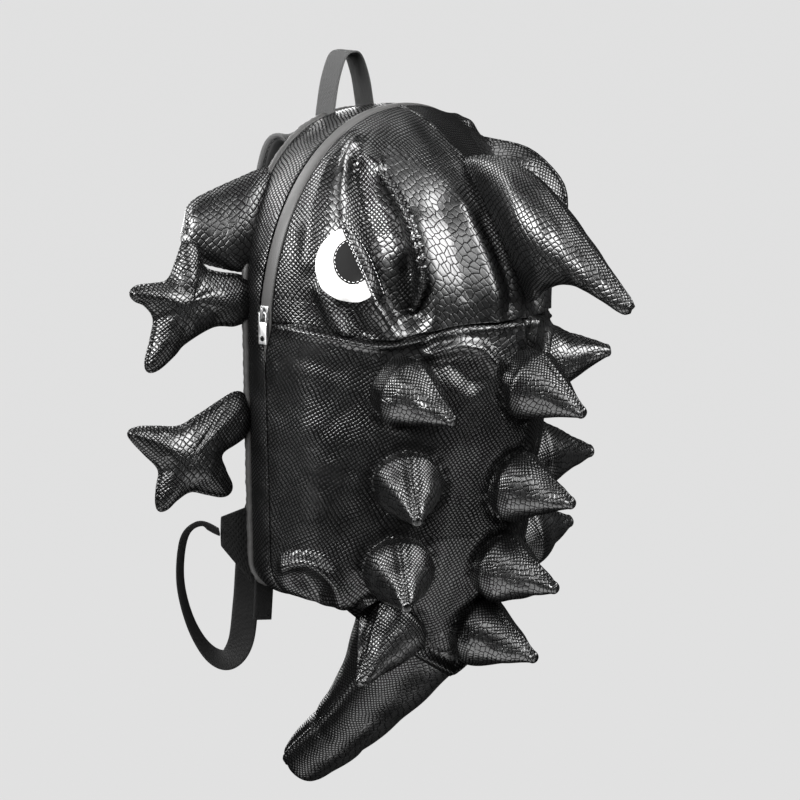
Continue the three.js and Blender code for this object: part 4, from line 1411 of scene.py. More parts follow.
def gathers(points: Array) -> Array:
    """Lift of the body panel where the spikes are sewn on.

    Args:
        points: Places on the panel.

    Returns:
        Lifts in millimetres.
    """
    total = np.zeros(points.shape[:-1])
    for number, spike in enumerate(SPIKES):
        along, across, up = spike.axes()
        offset = points - spike.base()
        near = bell(offset @ along, 15)
        x, y = offset @ across, offset @ up
        reach = np.hypot(x, y) - spike.radius
        angle = np.arctan2(y, x)
        pleat = np.sin(17 * angle + number) + 0.6 * np.sin(11 * angle + 2 * number)
        ring = np.where(reach > -5, bell(reach, 6.5), 0)
        total += near * ring * (0.4 * pleat - 3.0)
    return total


@dataclass
class FrontPanels:
    """Head and body panels with their folds."""

    columns: int = 241
    head_rows: int = 150
    body_rows: int = 190
    sag: float = 12.0
    sag_turn: float = 61.0
    sag_width: float = 16.0

    def build(self) -> list[Piece]:
        """Makes both panels."""
        return [self.head(), self.body()]

    def head(self) -> Piece:
        """Makes the head panel.

        Returns:
            The piece.
        """
        turns = np.linspace(-90, 90, self.columns)
        straight = np.linspace(FORM.chin_z, FORM.arch_foot, 18)[:-1]
        angles = np.radians(np.linspace(0, 88.6, self.head_rows - 17))
        rise = np.sin(angles) ** (2 / FORM.arch_power)
        heights = np.concatenate([straight, FORM.arch_foot + (FORM.height - FORM.arch_foot) * rise])
        turn, z = np.meshgrid(turns, heights)
        bare = FORM.head(turn, z)
        patch = Patch(bare, cloth_uv(bare, self.columns // 2), inside=np.array([0.0, 60.0, 300.0]))
        patch.lift(head_lift(turn, z))
        patch.cuts = (self.columns // 2,)
        patch.marks["plates"] = np.clip(relief(HEAD_PLATES, turn, z), 0, 1)
        return Piece(walled(patch.build("head_panel"), 2.0), LEATHER, "leather", ("head_shell",))

    def body(self) -> Piece:
        """Makes the body panel.

        Returns:
            The piece.
        """
        turns = np.linspace(-90, 90, self.columns)
        hem = np.linspace(0.97, 1, 18)
        shares = np.concatenate([[-0.008], np.linspace(0, 0.97, self.body_rows - 17)[:-1], hem])
        turn, share = np.meshgrid(turns, shares)
        bare = FORM.body(turn, share)
        z = FORM.chin_z * (1 - share)
        reach = np.abs(turn)
        low = smooth_step(share, 0.92, 0.972) * smooth_step(share, 1.0, 0.982)
        bare[..., 2] -= self.sag * bell(reach - self.sag_turn, self.sag_width) * low
        free = smooth_step(reach, 90, 84) * smooth_step(share, 1.0, 0.96)
        u, v = turn * TURN_MM, z
        waves = 0.8 * Ripple(80, 13).at(u, v) + 0.15 * Ripple(30, 14).at(u, v)
        chin = np.exp(-np.abs(z - FORM.chin_z) / 10) * Ripple(16, 6).at(u, 0 * v) * 0.5
        lift = free * (relief(BODY_FOLDS, turn, z) + waves) + chin
        lift += gathers(bare) * smooth_step(share, 1, 0.97)
        lift -= 3.0 * smooth_step(share, 0.012, 0.0)
        to_hem = (1 - share) * 620
        roll = 4.5 * bell(to_hem - 5, 3.5) - 2.0 * bell(to_hem - 13, 4)
        lift += roll * smooth_step(reach, 48, 40)
        patch = Patch(bare, cloth_uv(bare, self.columns // 2), inside=np.array([0.0, 80.0, 150.0]))
        patch.lift(lift)
        patch.cuts = (self.columns // 2,)
        patch.marks["plates"] = np.clip(relief(BODY_PLATES, turn, z), 0, 1)
        return Piece(walled(patch.build("body_panel"), 2.0), LEATHER, "leather", ("body_shell",))


@dataclass
class SpikeSet:
    """The twelve spikes, each a stuffed cone with one raised seam."""

    apart: float = 37.0
    rows: int = 60
    columns: int = 72
    profile: Table = (
        (-0.24, 0.88), (-0.06, 0.93), (0.04, 1.0), (0.12, 0.96), (0.28, 0.81), (0.5, 0.585),
        (0.72, 0.365), (0.9, 0.2), (0.965, 0.165), (0.995, 0.11), (1.0, 0.04),
    )

    def build(self) -> list[Piece]:
        """Makes every spike."""
        return [self.one(spike, number) for number, spike in enumerate(SPIKES)]

    def one(self, spike: Spike, number: int) -> Piece:
        """Makes one spike.

        Args:
            spike: Which spike.
            number: Seed of its unevenness.

        Returns:
            The piece.
        """
        along, across, up = spike.axes()
        run = smooth_rows(self.profile, np.linspace(0, 1, self.rows))
        distance = (run[:, 0] * spike.length)[:, None]
        radius = (run[:, 1] * spike.radius)[:, None]
        angle = ring_angles(self.columns)[None, :]
        from_seam = np.angle(np.exp(1j * (angle - np.pi / 2))) * radius
        tip = spike.length * 1.02
        near_tip = smooth_step(distance, spike.length, spike.length * 0.6)
        pleat = pleats(distance, 6.5, 4.1, number, 0, 0.5)
        seam = 1.5 * bell(from_seam, 1.7) - 0.7 * bell(np.abs(from_seam) - 4, 2.5)
        pucker = 0.2 * pleat * np.exp(-np.abs(from_seam) / 6) * near_tip
        wave = Ripple(30, 40 + number).at(angle * 22, distance) * 0.7 * near_tip
        size = radius + seam * smooth_step(radius, 2, 9) + pucker + wave
        circle = np.cos(angle)[..., None] * across + np.sin(angle)[..., None] * up
        points = spike.base() + distance[..., None] * along + size[..., None] * circle
        spread = spike.radius / math.hypot(spike.radius, spike.length)
        full = np.append(angle, 2 * np.pi)[None, :] - np.pi / 2
        reach = (tip - distance) * math.hypot(1, spike.radius / spike.length)
        uv = np.stack([reach * np.sin((full - np.pi) * spread), reach * np.cos((full - np.pi) * spread)], -1)
        patch = Patch(points, uv + self.apart * number, closed=True, capped=True)
        STUFFING.swell(patch, np.broadcast_to(distance < 3, size.shape))
        middle = bell(np.abs(from_seam) - 0.55 * np.pi * radius, 0.28 * np.pi * radius + 2)
        patch.marks["plates"] = 0.72 * middle * smooth_step(distance, 6, 20)
        return sewn(patch, spike.name, "stuffed", FINE_LEATHER, "leather", 0.9)


# Stuffed pieces with a flat outline


@dataclass
class StuffedLens:
    """A stuffed piece between an upper and a lower edge, sewn along its edges."""

    upper: Array
    lower: Array
    across: Array
    thick: Array
    seed: int
    rows: int = 70
    columns: int = 96
    pinch: float = 1.2
    gather: float = 1.0
    upper_seam: float = 1.7
    seam_width: float = 1.6
    roll: float = 0.0
    lower_seam: float = 1.7
    crowd: float = 1.0
    plates: float = 0.8
    sewn_rows: float = 0.15
    sunk: bool = False

    def patch(self) -> Patch:
        """Lays the sections out.

        Returns:
            The grid.
        """
        places = np.linspace(0, 1, self.rows)
        upper, lower = smooth_rows(self.upper, places), smooth_rows(self.lower, places)
        across = unit(smooth_rows(self.across, places))
        thick = np.maximum(smooth_rows(np.asarray(self.thick)[:, None], places), 0.5)
        spread = np.linspace(-1, 1, self.columns, endpoint=False)[None, :]
        angle = np.pi * signed_power(spread, self.crowd)
        middle, rise = (upper + lower) / 2, (upper - lower) / 2
        height = np.linalg.norm(rise, axis=-1, keepdims=True)
        run = run_lengths(middle)[:, None]
        top = np.abs(angle) * height
        low = (np.pi - np.abs(angle)) * height
        pleat = pleats(run, 7.3, 4.7, self.seed, 2)
        near = np.exp(-top / 7) * (self.upper_seam > 0) + np.exp(-low / 7) * (self.lower_seam > 0)
        puff = signed_power(np.sin(angle), self.pinch) * thick / 2
        puff = puff * (1 + 0.06 * self.gather * pleat * near)
        rolled = bell(top - 4.5, 3) * (1 + 0.35 * pleat) - 0.8 * bell(top - 12, 4)
        puff = puff + self.roll * rolled * np.sign(angle)
        flange = self.upper_seam * bell(top, self.seam_width) - self.lower_seam * bell(low, 1.6)
        flange = flange * (1 + 0.1 * self.gather * pleat)
        points = (
            middle[:, None]
            + rise[:, None] * np.cos(angle)[..., None]
            + unit(rise)[:, None] * flange[..., None]
            + across[:, None] * puff[..., None]
        )
        made = sleeve(points)
        wave = Ripple(34, self.seed).at(run + 0 * angle, angle * 16) * 0.8
        made.lift(wave * np.abs(np.sin(angle)))
        made.marks["plates"] = self.plates * np.sin(angle) ** 2 * np.ones_like(run)
        made.cuts = (0, self.columns // 2)
        held = np.broadcast_to((places < self.sewn_rows)[:, None], wave.shape)
        return STUFFING.swell(made, held | (np.abs(angle) > np.pi / 2) if self.sunk else held)


@dataclass
class Crest:
    """The horn along the middle of the head."""

    rows: Table = (
        (108, 386, 172, 264, 8), (142, 401, 214, 275, 18), (172, 405, 227, 285, 44),
        (199, 400, 242, 292, 56), (225, 385, 257, 294, 52), (248, 366, 273, 292, 45),
        (272, 341, 289, 286, 36), (297, 316, 304, 279, 26), (321, 292, 318, 273, 15),
        (328, 283, 325, 274, 8),
    )

    def build(self) -> list[Piece]:
        """Makes the horn.

        Returns:
            The piece.
        """
        table = np.array(self.rows, float)
        zero = np.zeros(len(table))
        lens = StuffedLens(
            np.stack([zero, table[:, 0], table[:, 1]], -1), np.stack([zero, table[:, 2], table[:, 3]], -1),
            np.tile([1.0, 0.0, 0.0], (len(table), 1)), table[:, 4], seed=5, rows=110, columns=120,
            pinch=0.95, upper_seam=2.4, lower_seam=0.0, plates=0.5,
        )
        return [sewn(lens.patch(), "crest_horn", "stuffed", FINE_LEATHER, "leather", 0.9)]


@dataclass
class Brows:
    """The leaf-shaped ridges over the eyes."""

    left: Table = (
        (62, 82, 397, 4), (84, 99, 400, 9), (98, 131, 383, 13), (108, 155, 363, 17),
        (112, 168, 341, 19), (111, 172, 321, 18), (106, 170, 303, 15), (97, 154, 278, 9),
        (90, 140, 264, 5),
    )
    right: Table = (
        (84, 58, 411, 10), (95, 96, 407, 18), (105, 132, 400, 26), (113, 155, 382, 31),
        (116, 168, 363, 33), (114, 171, 338, 33), (108, 168, 313, 30), (101, 161, 290, 24),
        (95, 151, 270, 12),
    )
    aim: Triple = (0, 60, 330)
    reach: float = 96.0
    left_roll: float = 3.4
    right_roll: float = 0.8

    def build(self) -> list[Piece]:
        """Makes both brows."""
        return [self.one(side) for side in Side]

    def one(self, side: Side) -> Piece:
        """Makes one brow.

        Args:
            side: Which side.

        Returns:
            The piece.
        """
        left = side is Side.LEFT
        table = np.array(self.left if left else self.right, float)
        crest = table[:, :3] * side.flip
        inward = unit(np.array(self.aim) - crest)
        across = unit(np.cross(inward, np.gradient(crest, axis=0)))
        lens = StuffedLens(
            crest, crest + inward * self.reach, across, table[:, 3], seed=11 + side.value, rows=90,
            columns=120, pinch=1.1, gather=1.5 if left else 0.5, upper_seam=3.0 if left else 1.5,
            seam_width=3.0, roll=self.left_roll if left else self.right_roll, lower_seam=0.0, crowd=1.6,
            plates=0.55, sewn_rows=0.05, sunk=True,
        )
        return sewn(lens.patch(), f"brow_{side.word}", "stuffed", FINE_LEATHER, "leather", 0.8)


@dataclass
class Ears:
    """The flat stuffed ears."""

    rows: Table = (
        (104, 390, 136, 302, -4, 22), (122, 393, 154, 303, 3, 26), (141, 385, 167, 307, 16, 28),
        (158, 376, 178, 312, 30, 26), (173, 367, 186, 321, 42, 21), (180, 360, 189, 327, 46, 12),
    )

    def build(self) -> list[Piece]:
        """Makes both ears."""
        return [self.one(side) for side in Side]

    def one(self, side: Side) -> Piece:
        """Makes one ear.

        Args:
            side: Which side.

        Returns:
            The piece.
        """
        table = np.array(self.rows, float)
        sign = side.value
        lens = StuffedLens(
            np.stack([sign * table[:, 0], -table[:, 4], table[:, 1]], -1),
            np.stack([sign * table[:, 2], -table[:, 4], table[:, 3]], -1),
            np.tile([-0.64 * sign, -0.77, 0.0], (len(table), 1)), table[:, 5], seed=21 + sign, plates=0.6,
        )
        return sewn(lens.patch(), f"ear_{side.word}", "stuffed", LEATHER, "leather", 0.8)


@dataclass
class Paws:
    """The two lobed paws of one side."""

    side: Side
    out: float = 66.0
    sweep: float = 20.0
    thick: float = 31.0
    root_x: float = 150.0
    stretch: float = 1.05
    columns: int = 200
    rings: int = 22
    apart: float = 160.0
    sewn_out: float = -46.0
    front_z: float = 282.0
    rear_z: float = 140.0
    front: Table = (
        (356, 43), (4, 53), (11, 58), (18, 53), (27, 39), (47, 28), (76, 38), (88, 51), (97, 54),
        (106, 49), (130, 34), (164, 58), (175, 74), (194, 75), (208, 59), (225, 40), (270, 42),
        (282, 53), (293, 69), (300, 75), (306, 69), (316, 51), (335, 38),
    )
    rear: Table = (
        (4, 44), (17, 58), (23, 64), (30, 57), (42, 41), (74, 27), (112, 37), (136, 72), (150, 74),
        (168, 66), (186, 38), (206, 45), (217, 58), (224, 61), (231, 57), (243, 46), (263, 38),
        (282, 45), (291, 55), (298, 59), (305, 54), (316, 43), (335, 33),
    )

    def build(self) -> list[Piece]:
        """Makes the front and the rear paw."""
        pairs = (("front", self.front, self.front_z), ("rear", self.rear, self.rear_z))
        return [self.one(*pair) for pair in pairs]

    def edge(self, table: Table) -> Array:
        """Outline of a paw in its own plane.

        Args:
            table: Angles and reaches of its lobes.

        Returns:
            Evenly spaced points, outwards and up.
        """
        angles, reach = np.array(table, float).T
        corners = np.stack(
            [self.stretch * reach * np.cos(np.radians(angles)), reach * np.sin(np.radians(angles))], -1
        )
        wrapped = np.vstack([corners[-2:], corners, corners[:3]])
        dense = smooth_rows(wrapped, np.linspace(0, 1, 1500))
        spots = np.linspace(0, 1, 1500) * (len(wrapped) - 1)
        inside = (spots >= 2) & (spots < 2 + len(corners))
        return even_line(dense[inside], self.columns, closed=True)

    def puff(self, flat: Array, edge: Array, seed: int) -> Array:
        """Half thickness over a paw, from how near its edge is.

        Args:
            flat: Places in the plane.
            edge: The outline.
            seed: Seed of its unevenness.

        Returns:
            Half thickness.
        """
        gap = np.linalg.norm(flat[:, :, None, :] - edge[None, None], axis=-1).min(-1) + 0.05
        bulge = np.sqrt(9.5 * gap)
        height = (bulge**-4 + (self.thick / 2) ** -4) ** -0.25
        for _ in range(45):
            inner = height[1:-1]
            beside = np.roll(inner, 1, 1) + np.roll(inner, -1, 1)
            height[1:-1] = 0.4 * inner + 0.15 * (beside + height[:-2] + height[2:])
        run = np.arange(len(edge)) * np.linalg.norm(edge[1] - edge[0])
        pleat = pleats(run, 7.9, 4.9, seed, 2 * seed)
        height = height * (1 + 0.06 * pleat * np.exp(-gap / 6))
        wave = Ripple(26, seed).at(flat[..., 0], flat[..., 1])
        return height + 0.5 * wave * np.minimum(gap / 8, 1)

    def one(self, word: str, table: Table, z: float) -> Piece:
        """Makes one paw.

        Args:
            word: Front or rear.
            table: Angles and reaches of its lobes.
            z: Height of its palm.

        Returns:
            The piece.
        """
        turn = math.radians(self.sweep)
        out = np.array([self.side.value * math.cos(turn), -math.sin(turn), 0.0])
        across = np.array([self.side.value * math.sin(turn), math.cos(turn), 0.0])
        up = np.array([0.0, 0.0, 1.0])
        palm = np.array([self.side.value * self.root_x, 0.0, z]) + out * self.out
        edge = self.edge(table)
        shares = np.sin(np.linspace(0.02, np.pi / 2, self.rings))
        flat = shares[:, None, None] * edge[None]
        tangent = np.roll(edge, -1, 0) - np.roll(edge, 1, 0)
        outward = unit(np.stack([tangent[:, 1], -tangent[:, 0]], -1))
        seed = 50 + (word == "rear") + 2 * self.side.value
        height = np.maximum(self.puff(flat, edge, seed), 0.9)
        flange = [edge + outward * 1.6, edge + outward * 2.1]
        flat = np.concatenate([flat, np.stack(flange)])
        height = np.vstack([height, np.full(len(edge), 0.9), np.full(len(edge), 0.2)])
        plane = palm + flat[..., :1] * out + flat[..., 1:] * up
        puff = height[..., None] * across
        points = np.concatenate([plane + puff, (plane - puff)[::-1]])
        uv = np.concatenate([flat, flat[::-1] + self.apart])
        uv = np.concatenate([uv, uv[:, :1]], 1)
        patch = Patch(points, uv, closed=True, capped=True)
        STUFFING.swell(patch, np.concatenate([flat, flat[::-1]])[..., 0] < self.sewn_out)
        middle = 0.55 * bell(np.linalg.norm(flat, axis=-1), 36)
        patch.marks["plates"] = np.concatenate([middle, middle[::-1]])
        return sewn(patch, f"paw_{word}_{self.side.word}", "stuffed", LEATHER, "leather", 0.85)


@dataclass
class Tail:
    """The stuffed tail under the body panel's tongue."""

    rows: Table = (
        (98, 6, 58, 58), (90, -22, 57, 58), (79, -45, 54, 54), (67, -64, 50, 48), (52, -86, 45, 42),
        (35, -107, 40, 36), (15, -129, 35.5, 31.5), (-10, -152.5, 32, 28), (-34, -172, 28, 25),
        (-50, -185.5, 23, 21), (-55.5, -190.5, 14, 13),
    )
    power: float = 2.4
    count: int = 120
    columns: int = 110

    def build(self) -> list[Piece]:
        """Makes the tail.

        Returns:
            The piece.
        """
        table = smooth_rows(self.rows, np.linspace(0, 1, self.count))
        line = np.stack([np.zeros(self.count), table[:, 0], table[:, 1]], -1)
        run = unit(np.gradient(line, axis=0))
        side = np.array([1.0, 0.0, 0.0])
        up = unit(np.cross(side, run))
        up = up * np.sign(up[:, 1:2] + 1e-9)
        angle = ring_angles(self.columns)[None, :]
        half, deep = table[:, 2:3], table[:, 3:4]
        lean = signed_power(np.cos(angle), 2 / self.power) * deep
        wide = signed_power(np.sin(angle), 2 / self.power) * half
        points = line[:, None] + up[:, None] * lean[..., None] + side * wide[..., None]
        patch = sleeve(points)
        length = run_lengths(line)[:, None]
        around = np.abs(np.angle(np.exp(1j * angle)))
        off = (around - np.radians(82 + 32 * length / length[-1])) * half
        pleat = pleats(length, 9, 5.3, 0, 1)
        lift = 1.4 * bell(off, 1.8) - 1.0 * bell(np.abs(off) - 5, 3)
        lift = lift + 0.25 * pleat * np.exp(-np.abs(off) / 7)
        end = length - length[-1] * 0.74
        lift = lift - 2.6 * bell(end, 7) * np.cos(angle - 1.1) ** 2
        lift = lift + 0.4 * Ripple(44, 71).at(length + 0 * angle, angle * 30)
        patch.lift(lift)
        STUFFING.swell(patch, np.broadcast_to(length < 40, lift.shape))
        patch.marks["plates"] = 0.8 * bell(around, 0.7) * np.ones_like(length)
        patch.cuts = (self.columns // 2,)
        return [sewn(patch, "tail", "stuffed", FINE_LEATHER, "leather", 0.8)]


# Gusset, piping, back panel and zip


def outline(inset: float, count: int) -> Array:
    """Closed outline of the bag seen from the front.

    Args:
        inset: How far inside it.
        count: How many points.

    Returns:
        Across and height, from the bottom middle up the right side and round.
    """
    low = np.linspace(0, 1, 60)
    corner = FORM.corner - inset
    foot = FORM.half_width - FORM.taper - FORM.corner
    angles = np.radians(np.linspace(-90, 0, 40))
    turn = np.stack([foot + corner * np.cos(angles), FORM.corner + corner * np.sin(angles)], -1)
    bottom = np.stack([low * foot, np.full(60, inset)], -1)
    rise = np.linspace(FORM.corner, FORM.arch_foot, 120)
    straight = np.stack([FORM.wide(rise, inset), rise], -1)
    arc = np.linspace(0, np.pi / 2, 160)
    across, up = np.cos(arc) ** (2 / FORM.arch_power), np.sin(arc) ** (2 / FORM.arch_power)
    high = FORM.arch_foot + (FORM.height - inset - FORM.arch_foot) * up
    arch = np.stack([(FORM.half_width - inset) * across, high], -1)
    right = np.vstack([bottom, turn[1:], straight[1:], arch[1:]])
    left = (right * [-1, 1])[::-1][1:-1]
    return even_line(np.vstack([right, left]), count, closed=True)


@dataclass
class Surround:
    """The pieces round the bag: gusset, piping, back panel and zip tape."""

    columns: int = 480
    flare: float = 8.0
    gusset_rear: float = 3.8
    pipe_wide: float = 3.35
    pipe_deep: float = 3.5
    border: float = 11.0
    channel: float = 50.0
    groove: float = 2.6

    def build(self) -> list[Piece]:
        """Makes the pieces."""
        return [self.gusset(), self.piping(), self.back(), self.tape()]

    def gusset(self) -> Piece:
        """Makes the side strip.

        Returns:
            The piece.
        """
        rear, front = outline(self.flare * 0.87, self.columns), outline(0.0, self.columns)
        shares = np.linspace(0, 1, 26)[:, None]
        flat = rear[None] + (front - rear)[None] * shares[..., None]
        depth = self.gusset_rear + (FORM.gusset_depth(front[:, 1])[None] - self.gusset_rear) * shares
        points = np.stack([flat[..., 0], depth, flat[..., 1]], -1)
        patch = Patch(points, ring_uv(points), closed=True, inside=np.array([0.0, 15.0, 200.0]))
        run = np.arange(self.columns)[None, :] * np.linalg.norm(front[1] - front[0])
        pleat = pleats(run, 11, 6.3, 0, 1, 0.7)
        edge = np.exp(-shares * 8) + 0.5 * np.exp(-(1 - shares) * 9)
        crown = 2.4 * np.sin(np.pi * shares) ** 0.7
        wave = 0.7 * Ripple(40, 81).at(run, shares * 26)
        patch.lift(crown + 0.08 * pleat * edge + 0.5 * wave * np.sin(np.pi * shares))
        patch.marks["plates"] = np.zeros(points.shape[:2])
        return Piece(walled(patch.build("gusset_strip"), 1.8), LEATHER, "leather", ("gusset",))

    def piping(self) -> Piece:
        """Makes the covered cord of the back seam.

        Returns:
            The piece.
        """
        angles = ring_angles(18)
        rings = []
        for angle in angles:
            line = outline(self.flare + 0.15 - self.pipe_wide * math.cos(angle), self.columns)
            depth = np.full(self.columns, self.pipe_deep * math.sin(angle))
            rings.append(np.stack([line[:, 0], depth, line[:, 1]], -1))
        grid = np.stack(rings, 1)
        points = np.concatenate([grid, grid[:1]])
        patch = Patch(points, ring_uv(points), closed=True)
        run = np.arange(self.columns + 1)[:, None] * 2.9
        wave = 0.22 * np.sin(2 * np.pi * run / 9) + 0.2 * Ripple(15, 83).at(run, angles[None] * 4)
        patch.marks["crease"] = np.zeros(points.shape[:2])
        centre = points.mean(1, keepdims=True)
        patch.points = centre + (points - centre) * (1 + wave[..., None] / 3.4)
        return Piece(patch.build("back_piping"), PIPING, "binding", ("back_binding",))

    def back(self) -> Piece:
        """Makes the padded back.

        Returns:
            The piece.
        """
        edge = outline(self.flare + 3.8, self.columns)
        middle = np.array([0.0, 210.0])
        shares = np.linspace(1, 0.01, 84)[:, None, None]
        flat = middle + (edge - middle)[None] * shares
        gap = np.linalg.norm(edge - middle, axis=-1)[None] * (1 - shares[..., 0])
        crown = 4.6 * (1 - np.exp(-gap / 13)) + 0.5 * Ripple(70, 91).at(flat[..., 0], flat[..., 1])
        border = bell(gap - self.border, self.groove)
        quilt = bell(np.abs(flat[..., 0]) - self.channel, self.groove) * smooth_step(gap, 8, 14)
        depth = 3.4 - crown + 2.4 * np.maximum(border, quilt)
        points = np.stack([flat[..., 0], depth, flat[..., 1]], -1)
        rim = points[:1].copy()
        rim[..., 1] = 8.0
        points = np.concatenate([rim, points])
        plane = np.concatenate([points[..., 0:1], points[..., 2:3]], -1)
        uv = np.concatenate([plane, plane[:, :1]], 1)
        patch = Patch(points, uv, closed=True, capped=True, inside=np.array([0.0, 8.0, 210.0]))
        # Painted shade in the sewn border and channels.
        crease = np.maximum(border, quilt) ** 4
        patch.marks["crease"] = np.vstack([crease[:1], crease])
        return Piece(patch.build("back_padded"), PADDING, "padding", ("back_panel",), fill=0.5)

    def tape(self) -> Piece:
        """Makes the zip's smooth front tape.

        Returns:
            The piece.
        """
        ring = outline(-0.5, 1600)
        high = ring[ring[:, 1] > FORM.zip_end_z - 4]
        line = even_line(high, 420)
        shares = np.linspace(0, 1, 15)[:, None]
        z = line[:, 1]
        start = FORM.gusset_depth(z) + 0.9
        wide = np.maximum(FORM.rim(z) - FORM.seam_gap - start, 0.6)
        depth = start[None] + wide[None] * shares
        points = np.stack(np.broadcast_arrays(line[None, :, 0], depth, z[None]), -1)
        patch = Patch(points, cloth_uv(points), inside=np.array([0.0, 30.0, 250.0]))
        crown = 1.1 * np.sin(np.pi * shares) ** 0.6 * (wide[None] / 12)
        groove = -1.4 * bell(shares, 0.07) - 0.6 * bell(shares - 1, 0.05)
        patch.lift(crown + groove)
        # Painted shade along both edges of the tape.
        crease = bell(shares - 0.04, 0.05) + 0.6 * bell(shares - 1, 0.03)
        patch.marks["crease"] = np.clip(crease, 0, 1) * np.ones_like(z)[None]
        return Piece(walled(patch.build("zip_tape_front"), 1.2), TAPE, "tape", ("zipper_tape",))


# Small hard pieces


def rounded_box(name: str, low: Sequence[float], high: Sequence[float], edge: float) -> Object:
    """A box with rounded edges.

    Args:
        name: Name of the object.
        low: Lowest across, depth and height in millimetres.
        high: Highest across, depth and height.
        edge: Radius of the edges.

    Returns:
        The object.
    """
    a, b = to_frame(np.array(low, float)), to_frame(np.array(high, float))
    corners = [(x, y, z) for x in (a[0], b[0]) for y in (b[1], a[1]) for z in (a[2], b[2])]
    faces = [(0, 1, 3, 2), (4, 6, 7, 5), (0, 4, 5, 1), (2, 3, 7, 6), (0, 2, 6, 4), (1, 5, 7, 3)]
    made = solid(name, corners, faces)
    bevel = made.modifiers.new("edges", "BEVEL")
    bevel.width = edge / 1000
    bevel.segments = 4
    return made


def joined(name: str, parts: Sequence[Object]) -> Object:
    """One mesh out of several objects, with their modifiers applied.

    Args:
        name: Name of the new object.
        parts: The objects, which are removed.

    Returns:
        The new object.
    """
    graph = bpy.context.evaluated_depsgraph_get()
    places: list[Triple] = []
    faces: list[list[int]] = []
    for part in parts:
        mesh = part.evaluated_get(graph).to_mesh()
        start = len(places)
        places += [tuple(v.co) for v in mesh.vertices]
        faces += [[start + k for k in face.vertices] for face in mesh.polygons]
    for part in parts:
        bpy.data.objects.remove(part)
    return solid(name, places, faces)


@dataclass
class Zipper:
    """Slider and hanging pull on the left cheek."""

    x: float = -160.3
    z: float = 268.0
    depth: float = 30.2
    pull_out: float = 4.2
    wide: float = 4.5
    thin: float = 0.8
    hole: float = 2.6
    hole_drop: float = 23.8
    hole_sides: int = 64

    def build(self) -> list[Piece]:
        """Makes both."""
        return [self.slider(), self.pull()]

    def slider(self) -> Piece:
        """Makes the slider.

        Returns:
            The piece.
        """
        x, d, z = self.x, self.depth, self.z
        parts = [
            rounded_box("plate", (x - 2.7, d - 5, z - 6.5), (x, d + 5, z + 6.5), 1.1),
            rounded_box("bar", (x - 6.8, d - 1.5, z - 5), (x - 5.4, d + 1.5, z + 5), 0.5),
            rounded_box("post_low", (x - 5.9, d - 1.5, z - 5), (x - 2.2, d + 1.5, z - 3.4), 0.4),
            rounded_box("post_high", (x - 5.9, d - 1.5, z + 3.4), (x - 2.2, d + 1.5, z + 5), 0.4),
        ]
        return Piece(joined("zip_slider_metal", parts), DARK_METAL, "metal", ("zip_slider",))

    def pull(self) -> Piece:
        """Makes the pull, a frame on a cross wire that ends in a plate with a hole.

        Returns:
            The piece.
        """
        x, d, z = self.x - self.pull_out, self.depth, self.z
        wide, thin = self.wide, self.thin
        parts = [
            rounded_box("wire", (x - thin, d - wide, z - thin), (x + thin, d + wide, z + thin), 0.6),
            rounded_box("arm_rear", (x - thin, d - wide, z - 10), (x + thin, d - wide + 1.6, z + thin), 0.6),
            rounded_box("arm_front", (x - thin, d + wide - 1.6, z - 10), (x + thin, d + wide, z + thin), 0.6),
            self.holed_plate(),
        ]
        made = joined("zip_pull_metal", parts)
        return Piece(made, METAL, "metal", ("zip_pull",), body="zip_pull")

    def holed_plate(self) -> Object:
        """The pull's plate, with its hole.

        Returns:
            The object.
        """
        angle = ring_angles(self.hole_sides)
        up, side = np.sin(angle), np.cos(angle)
        hole = np.stack([self.hole * side, self.hole * up + self.z - self.hole_drop], -1)
        high = np.where(up > 0, 15.3, 5.2) / np.maximum(np.abs(up), 1e-6)
        reach = np.minimum(self.wide / np.maximum(np.abs(side), 1e-6), high)
        edge = np.stack([reach * side, reach * up + self.z - self.hole_drop], -1)
        rings = []
        for ring, face in ((hole, -1.0), (hole, 1.0), (edge, 1.0), (edge, -1.0), (hole, -1.0)):
            x = np.full(self.hole_sides, self.x - self.pull_out + face * self.thin)
            rings.append(np.stack([x, self.depth + ring[:, 0], ring[:, 1]], -1))
        made = Patch(np.stack(rings), np.zeros((5, self.hole_sides + 1, 2)), closed=True).build("plate")
        made.data.polygons.foreach_set("use_smooth", np.zeros(len(made.data.polygons), bool))
        bevel = made.modifiers.new("edges", "BEVEL")
        bevel.width = 0.0005
        bevel.segments = 3
        return made


# Stitches


